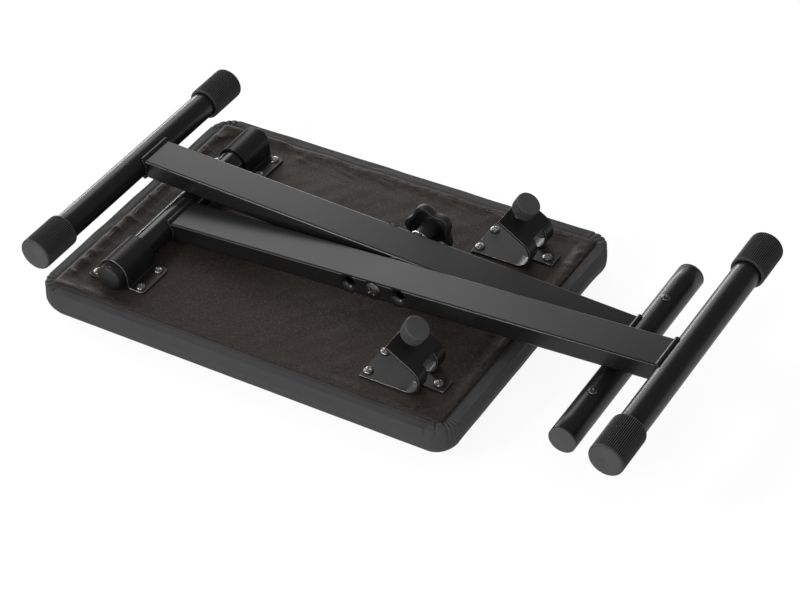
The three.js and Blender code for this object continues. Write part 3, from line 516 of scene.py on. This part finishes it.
def weave_group():
    """Over-and-under threads: the product of two sines gives a chequer of raised and sunk threads.
    Height is the relief and Gap is 1 where four threads meet."""
    made, source, result = group("woven_threads", {"Threads per metre": 600.0}, ("Height", "Gap"))
    place = node(made, "TexCoord")
    apart = node(made, "SeparateXYZ", Vector=place.outputs["Object"])
    angle = maths(made, "MULTIPLY", source.outputs[0], math.pi)
    drift = node(made, "TexNoise", Vector=place.outputs["Object"], Scale=210.0, Detail=2.0)
    sines = []
    for axis in (0, 1):
        straight = maths(made, "MULTIPLY", apart.outputs[axis], angle)
        sines.append(maths(made, "SINE", maths(made, "MULTIPLY_ADD", drift.outputs[0], 7.0, in2=straight)))
    height = maths(made, "MULTIPLY", *sines)
    gap = node(made, "MapRange", Value=maths(made, "ABSOLUTE", height), From_Min=0.18, From_Max=0.0)
    made.links.new(height, result.inputs["Height"])
    made.links.new(gap.outputs[0], result.inputs["Gap"])
    return made


def mix_in(tree, share, colour):
    """Mixes a share of a colour into what already feeds the shader's Base Color."""
    mixed = node(tree, "Mix", set_data_type="RGBA", in0=share, in7=(*colour, 1))
    insert(tree, "Base Color", mixed.inputs[6], mixed.outputs[2])


dust_cloth = finish_material("dark_dust_cloth", (0.0125, 0.009, 0.007), (0.0285, 0.0215, 0.0178), (0.5, 0.68),
                             14, 1500, 0.03 * mm, Specular_IOR_Level=0.31, Specular_Tint=(1.0, 0.87, 0.8, 1))
tree = dust_cloth.node_tree
weave = node(tree, "Group", set_node_tree=weave_group(), in0=900.0)
emboss(tree, weave.outputs["Height"], 0.5, 0.1 * mm)

# Slubs: thicker, paler lengths of thread along both directions. Where four threads meet, shade is painted in:
# the colour darkens there.
place = node(tree, "TexCoord")
slubs = []
for stretch in ((0.22, 1, 1), (1, 0.22, 1)):
    drawn = node(tree, "VectorMath", set_operation="MULTIPLY", in0=place.outputs["Object"],
                 in1=stretch)
    slubs.append(node(tree, "TexNoise", Vector=drawn.outputs[0], Scale=1500.0, Detail=1.0,
                      Roughness=0.6))
slub = maths(tree, "ADD", slubs[0].outputs[0], slubs[1].outputs[0])
slub_share = node(tree, "MapRange", Value=slub, From_Min=0.95, From_Max=1.3, To_Max=0.4)
mix_in(tree, slub_share.outputs[0], (0.105, 0.088, 0.079))
# Painted shade: the colour darkens towards near black in the gaps between threads.
mix_in(tree, maths(tree, "MULTIPLY", weave.outputs["Gap"], 0.55), (0.008, 0.007, 0.006))

cover = solid_of_grid("dust_cover_cloth", np.stack([cover_x, cover_y, cover_z], -1), wrap_columns=False,
                      material=dust_cloth)
if cover.data.polygons[0].normal.z < 0:
    cover.data.flip_normals()
thick = cover.modifiers.new("cloth_thickness", "SOLIDIFY")
thick.thickness, thick.offset, thick.material_offset_rim = 0.6 * mm, -1, 1
# Painted shade: the cloth's rim faces take a near-black colour, so a dark shadow line runs along the hem.
hem_painted_shade = finish_material("dust_cloth_hem_painted_shade", (0.004, 0.0035, 0.003), (0.010, 0.0085, 0.0075),
                              (0.85, 0.95), 90, 1500, 0.03 * mm, Specular_IOR_Level=0.1)
cover.data.materials.append(hem_painted_shade)
keep(cover, "seat", "cloth", "dust_cover")


# Staples: blackened wire, about ten millimetres long, driven through the hem into the board. Only
# their backs show: each rises from the cloth at both ends and lies flat between.
def whole_turn(count):
    """Equal angles round a circle."""
    return np.linspace(0, 2 * np.pi, count, endpoint=False)


def with_ends(rows):
    """The rows closed by a point at the middle of the first and of the last."""
    ends = np.repeat(rows[[0, -1]].mean(1, keepdims=True), rows.shape[1], 1)
    return np.concatenate([ends[:1], rows, ends[1:]])


zinc = finish_material("aged_zinc", (0.31, 0.3, 0.285), (0.5, 0.488, 0.468), (0.24, 0.4), 90, 2600, 0.02 * mm,
                       Metallic=1.0)
dull_wire = finish_material("blackened_staple_wire", (0.03, 0.028, 0.027), (0.07, 0.067, 0.065), (0.35, 0.5),
                            200, 2600, 0.02 * mm, Metallic=1.0)
half_staple, wire_half_width, wire_half_thick, arch, sunk_by = 5.2, 0.62, 0.28, 0.55, 0.25
reach_along = np.linspace(-half_staple, half_staple, 11)[:, None]
side = wire_half_width * np.cos(whole_turn(8))
up = arch * (1 - (abs(reach_along) / half_staple) ** 8) - sunk_by + wire_half_thick * np.sin(whole_turn(8))
for number, (x, y, turned_by) in enumerate(staples):
    c, s = math.cos(math.radians(turned_by)), math.sin(math.radians(turned_by))
    grid = np.stack([x + c * reach_along - s * side, y + s * reach_along + c * side, cover_border + up], -1)
    keep(solid_of_grid(f"staple_{number:02d}", with_ends(grid), material=dull_wire), "seat", "zinc")


# Brackets: saddles and hook clips pressed from two millimetre sheet and painted satin black.
# Their cut edges are slightly rounded, as a press and a coat of paint leave them.
def finished_copy(source, name, material, edge, sharp=38, edge_material=None):
    """A CAD solid with its loose triangles merged and its flat areas made single faces; edges
    sharper than the angle get a narrow round, and flat faces keep their own normals."""
    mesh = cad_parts[source].data.copy()
    mesh.name = name
    shape = bmesh.new()
    shape.from_mesh(mesh)
    bmesh.ops.remove_doubles(shape, verts=shape.verts, dist=3e-6)
    bmesh.ops.dissolve_limit(shape, angle_limit=math.radians(1.2), verts=shape.verts, edges=shape.edges)
    for face in shape.faces:
        face.smooth = True
    for item in shape.edges:
        item.smooth = not (len(item.link_faces) == 2 and item.calc_face_angle(0) > math.radians(sharp))
    shape.to_mesh(mesh)
    shape.free()
    mesh.materials.clear()
    mesh.materials.append(material)
    made = bpy.data.objects.new(name, mesh)
    scene.collection.objects.link(made)
    if edge:
        rounding = made.modifiers.new("rounded_edges", "BEVEL")
        rounding.width, rounding.segments = edge * mm, 2
        rounding.limit_method, rounding.angle_limit = "ANGLE", math.radians(sharp)
        rounding.use_clamp_overlap = True
        if edge_material:
            mesh.materials.append(edge_material)
            rounding.material = 1
    flat = made.modifiers.new("flat_faces", "WEIGHTED_NORMAL")
    flat.keep_sharp = True
    return made


bracket_paint = finish_material("bracket_black_paint", (0.008, 0.0078, 0.0078), (0.014, 0.0135, 0.0135),
                                (0.32, 0.42), 45, 700, 0.05 * mm, Specular_IOR_Level=0.4)
worn_edge = finish_material("bracket_worn_edge", (0.3, 0.292, 0.285), (0.56, 0.547, 0.533), (0.3, 0.42),
                            300, 1200, 0.03 * mm, Metallic=0.8)
sheet_round, nut_round = 0.45, 0.3
for side in ("near", "far"):
    for source in (f"saddle_{side}", f"hook_clip_{side}"):
        pressed = finished_copy(source, source + "_pressed", bracket_paint, sheet_round,
                                edge_material=worn_edge)
        keep(pressed, "seat", "bracket", source)
    keep(finished_copy(f"weld_nut_{side}", f"weld_nut_{side}_hex", zinc, nut_round),
         "seat", "zinc", f"weld_nut_{side}")


# Bracket screws: zinc-plated steel with a pan head and a cross recess, driven through the bracket
# and the cloth into the board, each stopped at its own angle.
def ring_rows(radius, height, angle):
    """Rows of points about Z, a ring to each row, from radius, height and angle."""
    columns = np.broadcast_arrays(radius * np.cos(angle), radius * np.sin(angle), height)
    return np.stack(columns, -1)


def turned_rows(profile, around):
    """Each pair of radius and height becomes one ring about Z."""
    pairs = np.array(profile, float)
    return ring_rows(pairs[:, :1], pairs[:, 1:], whole_turn(around))


def recessed_dome(radius, base, dome, arm, width, depth, around, rings=16):
    """Rows of a shallow dome, height base + dome (1 - share squared), with a cross sunk into it:
    a point inside either arm goes down by the depth, less towards the arm's end."""
    share = np.linspace(1, 0, rings)[1:]
    rows = turned_rows(np.stack([radius * share, base + dome * (1 - share ** 2)], 1), around)
    x, y = abs(rows[..., 0]), abs(rows[..., 1])
    soft = 0.1
    arms = [smoothstep(width / 2 + soft, width / 2 - soft, b) * smoothstep(arm / 2 + soft, arm / 2 - soft, a)
            * (1 - 0.55 * (a / (arm / 2)) ** 2) for a, b in ((x, y), (y, x))]
    rows[..., 2] -= depth * np.maximum(*arms)
    return rows


def oriented(rows, origin, x_axis, z_axis):
    """Rows about Z moved to an origin with the given X and Z directions."""
    x_axis, z_axis = np.array(x_axis, float), np.array(z_axis, float)
    axes = np.stack([x_axis, np.cross(z_axis, x_axis), z_axis])
    return rows @ axes + np.array(origin, float)


# Radius and depth below the top of the head, from the point up to the dome's edge.
dome_radius, dome_rise = 4.05, 1.05
screw_outline = ((0, 14.8), (1.4, 13.4), (2, 11.8), (2, 2.8), (4.6, 2.8), (4.7, 2.6), (4.7, 2.0), (4.5, 1.55),
                 (dome_radius, dome_rise))
screw_nodes = sorted(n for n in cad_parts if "_screw_" in n)
spin = np.random.default_rng(11).uniform(0, 90, len(screw_nodes))
for source, turn_by in zip(screw_nodes, spin):
    low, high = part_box(source)
    middle = ((low + high) / 2) / mm
    head_top = high.z / mm
    head = [(r, head_top - down) for r, down in screw_outline]
    top = recessed_dome(dome_radius, head_top - dome_rise, dome_rise, arm=5.6, width=1.3, depth=1.5,
                        around=64)
    rows = np.concatenate([turned_rows(head, 64), top])
    turn_by = math.radians(turn_by)
    rows = oriented(rows, (middle.x, middle.y, 0), (math.cos(turn_by), math.sin(turn_by), 0), (0, 0, 1))
    keep(solid_of_grid(source + "_recessed", rows, material=zinc), "seat", "zinc", source)


# Thumbscrews: a moulded knurled knob on a zinc M8 stud, screwed through the clip's upper sheet
# into the weld nut below it.
knob_plastic = finish_material("moulded_black_plastic", (0.010, 0.0098, 0.0098), (0.018, 0.0175, 0.0175),
                               (0.42, 0.55), 80, 1600, 0.05 * mm, Specular_IOR_Level=0.5)
dark_plate = finish_material("dark_plated_bolt", (0.12, 0.117, 0.114), (0.22, 0.215, 0.21), (0.26, 0.36),
                             120, 2400, 0.02 * mm, Metallic=1.0)
matt_knob = finish_material("matt_knob_plastic", (0.052, 0.0505, 0.051), (0.072, 0.07, 0.071), (0.4, 0.52),
                            80, 1600, 0.05 * mm)
sheet_slope = math.radians(33)
thumb_axis = (math.sin(sheet_slope), 0, math.cos(sheet_slope))
thumb_side = (math.cos(sheet_slope), 0, -math.sin(sheet_slope))
thumb_x, thumb_z, thumb_spread = 149.86, 78.039, 96.5


def threaded_rows(radius, depth, pitch, low, high, around=40, steps=8):
    """A screw thread about Z: the radius falls by the depth in a triangle wave of the pitch
    that climbs one pitch in each turn."""
    z = np.linspace(low, high, int((high - low) / pitch * steps))
    angle = whole_turn(around)
    phase = (z[:, None] / pitch - angle[None, :] / (2 * np.pi)) % 1
    fade = smoothstep(low, low + pitch, z)[:, None] * smoothstep(high, high - pitch, z)[:, None]
    r = radius - depth * (1 - fade * (1 - abs(2 * phase - 1)))
    return ring_rows(r, z[:, None], angle)


# Knob outline: radius, height along the stud, and how deep the knurling is there.
knob_ribs, knurl_depth = 32, 1.0
knob_profile = np.array([(4.3, 8.7, 0), (4.3, 7.7, 0), (4.5, 7.5, 0), (9.4, 7.5, 0), (10.3, 7.8, 0),
                         (10.9, 8.4, 0.5), (11.2, 9.3, 1), (11.3, 10.5, 1), (11.5, 14, 1), (11.7, 19.3, 1),
                         (11.8, 19.9, 0.9), (11.75, 20.4, 0.4), (11.4, 20.9, 0), (10.9, 21.25, 0),
                         (10.3, 21.4, 0), (8.0, 21.48, 0), (4.0, 21.5, 0), (0, 21.5, 0)])
stud_radius, thread_depth, thread_pitch, stud_low, stud_high = 4.0, 0.6, 1.25, -20.5, 15.4
angle = whole_turn(knob_ribs * 8)
knurl = (0.5 + 0.5 * np.cos(knob_ribs * angle)) ** 1.5
knob = ring_rows(knob_profile[:, :1] - knurl_depth * knob_profile[:, 2:] * knurl, knob_profile[:, 1:2], angle)
stud = threaded_rows(stud_radius, thread_depth, thread_pitch, stud_low, stud_high)
for side, sign in (("near", -1), ("far", 1)):
    for source, suffix, rows, material, slot in (("thumb_knob", "knurled", knob, matt_knob, "plastic"),
                                                 ("thumb_stud", "threaded", stud, dark_plate, "zinc")):
        rows = with_ends(oriented(rows, (thumb_x, sign * thumb_spread, thumb_z), thumb_side, thumb_axis))
        keep(solid_of_grid(f"{source}_{side}_{suffix}", rows, material=material), f"thumbscrew_{side}", slot,
             f"{source}_{side}")


# Frame steel: round and flat tube, coped and welded, under a satin black powder coat with a fine
# orange peel. Each leg has a round tube at its top and another at its foot.
frame_paint = finish_material("black_powder_coat", (0.006, 0.0058, 0.0058), (0.011, 0.0105, 0.0105),
                              (0.26, 0.34), 16, 850, 0.03 * mm, Specular_IOR_Level=0.5)
hinge = (-152, 0, 51.5)
lean_a, lean_b, to_pivot, leg_length = math.radians(3.23), math.radians(-2.95), 232, 520
pivot = (hinge[0] + to_pivot * math.cos(lean_a), 0, hinge[2] + to_pivot * math.sin(lean_a))
foot_a = (hinge[0] + leg_length * math.cos(lean_a), 0, hinge[2] + leg_length * math.sin(lean_a))
free_end = (pivot[0] + to_pivot * math.cos(lean_b), 0, pivot[2] + to_pivot * math.sin(lean_b))
foot_b = (free_end[0] - leg_length * math.cos(lean_b), 0, free_end[2] - leg_length * math.sin(lean_b))


def turned_y(name, pairs, centre, material, side=1, around=96):
    """A closed outline of radius and distance along Y, turned about an axis along Y."""
    rows = turned_rows(pairs, around)
    rows = oriented(rows, (centre[0], 0, centre[2]), (1, 0, 0), (0, side, 0))
    return solid_of_grid(name, rows, material=material)


def tube_outline(radius, wall, low, high, round_off=0.4):
    """Outer face, end, bore and other end of a tube, with small rounds at the four rims."""
    inner = radius - wall
    return [(radius, low + round_off), (radius, high - round_off), (radius - round_off, high),
            (inner + round_off, high), (inner, high - round_off), (inner, low + round_off),
            (inner + round_off, low), (radius - round_off, low), (radius, low + round_off)]


# The hinge tube is a little shinier from one saddle to the other.
hinge_paint = finish_material("hinge_tube_gloss_paint", (0.006, 0.0058, 0.0058), (0.011, 0.0105, 0.0105),
                              (0.15, 0.2), 16, 850, 0.02 * mm, Specular_IOR_Level=0.7)
tube_radius, tube_wall, shiny_from, shiny_to = 12.7, 1.5, -100, 96
for name, centre, low, high, body in (("leg_a_top_tube", hinge, -120.5, 116.5, "leg_a"),
                                      ("leg_a_foot_tube", foot_a, -150, 150, "leg_a"),
                                      ("leg_b_top_tube", free_end, -120.5, 116.5, "leg_b"),
                                      ("leg_b_foot_tube", foot_b, -150, 150, "leg_b")):
    outline = tube_outline(tube_radius, tube_wall, low, high)
    outline[1:1] = [(tube_radius, shiny_from), (tube_radius, shiny_to)]
    tube = turned_y(name + "_steel", outline, centre, frame_paint)
    keep(tube, body, "frame", name)
    if name == "leg_a_top_tube":
        tube.data.materials.append(hinge_paint)
        for face in tube.data.polygons:
            face.material_index = int(shiny_from * mm < face.center.y < shiny_to * mm)

# The flat tubes' corners are rolled round, so only the cut ends count as edges.
for leg in ("leg_a", "leg_b"):
    keep(finished_copy(leg + "_tube", leg + "_flat_tube", frame_paint, 0.25, sharp=50), leg, "frame",
         leg + "_tube")


# Welds: a rippled bead of steel, painted with the frame, runs round each flat tube where it is
# coped on to a round one.
def weld_bead(origin, lean, near_face, towards, bead=1.25, ripple=3.1):
    """A bead round the flat tube's outline, straight sides between quarter circles. Each point of it
    (y, z) lies on the round tube at x = square root of (radius squared - z squared), and the bead's
    own radius ripples along it."""
    half_y, half_z, r, half_tube, off_tube, ripple_height, lump_height = 19.1, 9.6, 2.4, 19, 0.5, 0.24, 0.3
    side_y, side_z, quarter = (half_y - r) * 2, (half_z - r) * 2, r * math.pi / 2
    spots = np.linspace(0, 2 * (side_y + side_z) + 4 * quarter, 360, endpoint=False)
    y, z, out = np.zeros_like(spots), np.zeros_like(spots), np.zeros_like(spots)
    centres = [(a * (half_y - r), b * (half_z - r))
               for a, b in ((1, 1), (-1, 1), (-1, -1), (1, -1), (1, 1))]
    start = 0
    for number, side in enumerate((side_y, side_z, side_y, side_z)):
        facing = math.pi / 2 * (number + 1)
        for length, centre, bend in ((side, centres[number], 0), (quarter, centres[number + 1], 1)):
            part = (spots >= start) & (spots < start + length)
            run = spots[part] - start
            out[part] = facing + bend * run / r
            straight = (1 - bend) * run
            y[part] = centre[0] + r * np.cos(out[part]) - straight * math.sin(facing)
            z[part] = centre[1] + r * np.sin(out[part]) + straight * math.cos(facing)
            start += length
    x = np.sqrt(tube_radius ** 2 - z ** 2) + off_tube
    path = np.stack([towards * x, y + near_face + half_tube, z], 1)
    forward = np.roll(path, -1, 0) - np.roll(path, 1, 0)
    forward /= np.linalg.norm(forward, axis=1, keepdims=True)
    normal = np.stack([0 * out, np.cos(out), np.sin(out)], 1)
    normal -= forward * (normal * forward).sum(1, keepdims=True)
    normal /= np.linalg.norm(normal, axis=1, keepdims=True)
    cross = np.cross(forward, normal)
    lumps = lump_height * waves(spots, 0 * spots, 47, 9, 5, 30)
    size = bead + ripple_height * np.sin(2 * np.pi * spots / ripple) + lumps
    phi = whole_turn(12)[None, :, None]
    spread = np.cos(phi) * normal[:, None] + np.sin(phi) * cross[:, None]
    grid = path[:, None] + size[:, None, None] * spread
    return oriented(grid, origin, (math.cos(lean), 0, math.sin(lean)), (-math.sin(lean), 0, math.cos(lean)))


for name, origin, lean, near_face, towards, body in (("weld_a_top", hinge, lean_a, -41.5, 1, "leg_a"),
                                                     ("weld_a_foot", foot_a, lean_a, -41.5, -1, "leg_a"),
                                                     ("weld_b_top", free_end, lean_b, -1, -1, "leg_b"),
                                                     ("weld_b_foot", foot_b, lean_b, -1, 1, "leg_b")):
    bead = weld_bead(origin, lean, near_face, towards)
    keep(solid_of_grid(name, bead, wrap_rows=True, material=frame_paint), body, "frame")


# Foot caps: thick black rubber cups with fine ribs along them and a plain end, pushed over the
# ends of the two foot tubes.
def groove_shade_group():
    """Groove is 1 at the bottom of each groove and 0 on each rib of a cap whose axis runs along Y
    through Across and Up, in metres; inside the inner radius it is 0."""
    made, source, result = group("rib_groove_painted_shade", {"Across": 0.0, "Up": 0.0, "Ribs": rib_count,
                                                 "Inner Radius": 0.0145}, ("Groove",))
    place = node(made, "TexCoord")
    apart = node(made, "SeparateXYZ", Vector=place.outputs["Object"])
    dx = maths(made, "SUBTRACT", apart.outputs[0], source.outputs["Across"])
    dz = maths(made, "SUBTRACT", apart.outputs[2], source.outputs["Up"])
    turn = maths(made, "ARCTAN2", dz, dx)
    wave = maths(made, "COSINE", maths(made, "MULTIPLY", turn, source.outputs["Ribs"]))
    share = node(made, "MapRange", Value=wave, From_Min=-0.6, From_Max=0.7)
    spot = node(made, "CombineXYZ", X=dx, Z=dz)
    away = node(made, "VectorMath", set_operation="LENGTH", in0=spot.outputs[0])
    outside = maths(made, "GREATER_THAN", away.outputs["Value"], source.outputs["Inner Radius"])
    made.links.new(maths(made, "MULTIPLY", share.outputs[0], outside), result.inputs["Groove"])
    return made


rib_count, rib_depth, cap_start = 57, 1.1, 111
grooves = groove_shade_group()
# Cap outline: radius, distance from the cap's open end, and how deep the grooves are there.
cap_outline = np.array([(0, 39.3, 0), (12.4, 39.3, 0), (13, 38.9, 0), (13, 0.6, 0), (13.4, 0.1, 0),
                        (15, 0, 0), (15.5, 0.3, 0), (15.8, 1, 0.2), (15.97, 2, 1), (15.97, 14, 1),
                        (15.97, 28, 1), (15.97, 39.4, 1), (15.9, 40.3, 0.3), (15.7, 40.9, 0),
                        (15.2, 41.6, 0), (14.6, 41.9, 0), (13.8, 42, 0), (12, 42, 0), (2, 42, 0),
                        (1.6, 41.8, 0), (1.1, 41.6, 0), (0, 41.5, 0)])
angle = whole_turn(rib_count * 8)
groove = (0.5 + 0.5 * np.cos(rib_count * angle)) ** 0.9
cap = ring_rows(cap_outline[:, :1] - rib_depth * cap_outline[:, 2:] * groove, cap_outline[:, 1:2] + cap_start,
                angle)
for leg, centre in (("a", foot_a), ("b", foot_b)):
    foot_rubber = finish_material(f"ribbed_black_rubber_{leg}", (0.046, 0.0447, 0.0453),
                                  (0.068, 0.066, 0.067), (0.42, 0.54), 70, 1300, 0.07 * mm,
                                  Specular_IOR_Level=0.5)
    tree = foot_rubber.node_tree
    # Painted shade: the rubber's colour darkens to near black at the bottom of each rib groove.
    sunk = node(tree, "Group", set_node_tree=grooves, Across=centre[0] * mm, Up=centre[2] * mm)
    mix_in(tree, sunk.outputs[0], (0.003, 0.003, 0.003))
    for side, sign in (("near", -1), ("far", 1)):
        rows = oriented(cap, (centre[0], 0, centre[2]), (1, 0, 0), (0, sign, 0))
        source = f"leg_{leg}_foot_cap_{side}"
        keep(solid_of_grid(source + "_ribbed", rows, material=foot_rubber), f"leg_{leg}", "rubber", source)

# End plugs: moulded plastic, pushed into the top tubes' ends. They are domed on the hinge tube and
# flat with a rolled edge on the free tube.
plug_stem = [(0, -12), (10.9, -12), (10.9, 0.3), (12.5, 0.3), (12.7, 0.5)]
domed_plug = plug_stem + [(12.7, 1.6), (12.3, 2.7), (11.3, 3.8), (9.6, 4.7), (7.2, 5.4), (4.2, 5.85),
                          (1.8, 5.98), (0, 6)]
flat_plug = plug_stem + [(12.7, 1.3), (12.5, 1.65), (12.1, 1.8), (11.3, 1.8), (11, 1.6), (10.6, 1.6),
                         (10.3, 1.7), (0, 1.7)]
for leg, outline, centre, plug_plastic in (("a", domed_plug, hinge, knob_plastic),
                                           ("b", flat_plug, free_end, matt_knob)):
    for side, sign, end in (("near", -1, 120.5), ("far", 1, 116.5)):
        source, pairs = f"leg_{leg}_plug_{side}", [(r, y + end) for r, y in outline]
        keep(turned_y(source + "_moulded", pairs, centre, plug_plastic, side=sign), f"leg_{leg}", "plastic",
             source)

# Rivets: dark steel with domed heads, set through the free tube's upper wall. They stop the tube
# sliding sideways between the clips.
up_b = (-math.sin(lean_b), 0, math.cos(lean_b))
along_b = (math.cos(lean_b), 0, math.sin(lean_b))
rivet_outline = [(0, 8.7), (2, 8.7), (2, 12.2), (3.9, 12.5), (4, 13), (3.9, 13.6), (3.5, 14.2), (2.8, 14.7),
                 (1.9, 14.97), (1.3, 15), (1.1, 14.9), (1.05, 14.5), (0, 14.5)]
for side, y in (("near", -70), ("far", 66)):
    rows = oriented(turned_rows(rivet_outline, 40), (free_end[0], y, free_end[2]), along_b, up_b)
    keep(solid_of_grid(f"rivet_{side}_domed", rows, material=dark_plate), "leg_b", "zinc", f"rivet_{side}")

# Pivot: a raised countersunk bolt sunk in leg A, a washer between the legs and a bright one
# under the knob.
chrome = finish_material("bright_chrome", (0.72, 0.72, 0.73), (0.80, 0.80, 0.80), (0.10, 0.16), 60, 3000,
                         0.01 * mm, Metallic=1.0)
dome_top = -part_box("pivot_bolt")[0].y / mm
recess_turn = 0.5
bolt_rows = np.concatenate([
    turned_rows([(0, -60), (3.2, -60), (4, -59.2), (4, dome_top - 6.8), (7.9, dome_top - 2.6),
                 (8, dome_top - 2.4), (7.9, dome_top - 2.1), (7.6, dome_top - 1.8)], 96),
    recessed_dome(7.6, dome_top - 1.8, 1.8, arm=8.4, width=1.7, depth=2.6, around=96, rings=24)])
bolt_rows = oriented(bolt_rows, (pivot[0], 0, pivot[2]),
                     (math.cos(recess_turn), 0, math.sin(recess_turn)), (0, -1, 0))
bolt_steel = finish_material("dull_bolt_steel", (0.13, 0.127, 0.122), (0.24, 0.235, 0.228), (0.28, 0.4),
                             120, 2400, 0.02 * mm, Metallic=1.0)
keep(solid_of_grid("pivot_bolt_countersunk", bolt_rows, material=bolt_steel), "leg_a", "zinc", "pivot_bolt")
for name, low, high, outer, inner, paint, body, slot in (
        ("pivot_spacer", -3.25, -1.25, 9, 4.3, frame_paint, "leg_a", "zinc"),
        ("knob_washer", 37.3, 39.3, 10.5, 4.3, chrome, "leg_b", "chrome")):
    ring = tube_outline(outer, outer - inner, low, high, 0.25)
    keep(turned_y(name + "_turned", ring, pivot, paint, around=80), body, slot, name)

# Star knob: moulded with five lobes, domed on its far side and hollow towards the leg, with a
# zinc bush moulded into its hub. Each row of the outline has a radius, a distance along the bolt
# and the lobes' share there.
star_rows = np.array([(0, 68.0, 0), (3, 68.0, 0.1), (7, 67.8, 0.2), (11, 67.3, 0.4), (14.6, 66.6, 0.65),
                      (17.6, 65.6, 0.85), (20.2, 64.2, 1), (21.8, 62.4, 1), (22.6, 60.4, 1), (22.9, 58.2, 1),
                      (22.9, 55.8, 1), (22.6, 54.7, 1), (22.0, 54.1, 0.95), (21.2, 54, 0.9), (19.6, 54, 0.7),
                      (18.9, 54.2, 0.6), (18.5, 54.8, 0.6), (17.6, 62.2, 0.4), (17.0, 63, 0.2), (9.6, 63, 0),
                      (8.9, 62.5, 0), (8.6, 60, 0), (8.3, 41.2, 0), (8.0, 40.1, 0), (7.4, 39.7, 0),
                      (6.5, 39.7, 0), (6.3, 39.9, 0), (6.3, 60.0, 0), (0, 60.3, 0)])
lobe_count, lobe_height, lobe_turn = 5, 2.5, math.radians(36)
angle = whole_turn(240)
lobes = lobe_height * np.cos(lobe_count * (angle - lobe_turn))
r = star_rows[:, :1] + star_rows[:, 2:] * lobes * np.clip(star_rows[:, :1] / 20, 0, 1)
grid = np.stack([pivot[0] + r * np.cos(angle), star_rows[:, 1:2] + 0 * r, pivot[2] + r * np.sin(angle)], -1)
keep(solid_of_grid("star_knob_moulded", grid, material=knob_plastic), "star_knob_turning", "plastic",
     "star_knob")
bush = tube_outline(6, 1.7, 39.7, 56.7, 0.3)
keep(turned_y("star_knob_bush", bush, pivot, zinc, around=60), "star_knob_turning", "zinc",
     "star_knob_insert")

scene.view_settings.view_transform = "Standard"
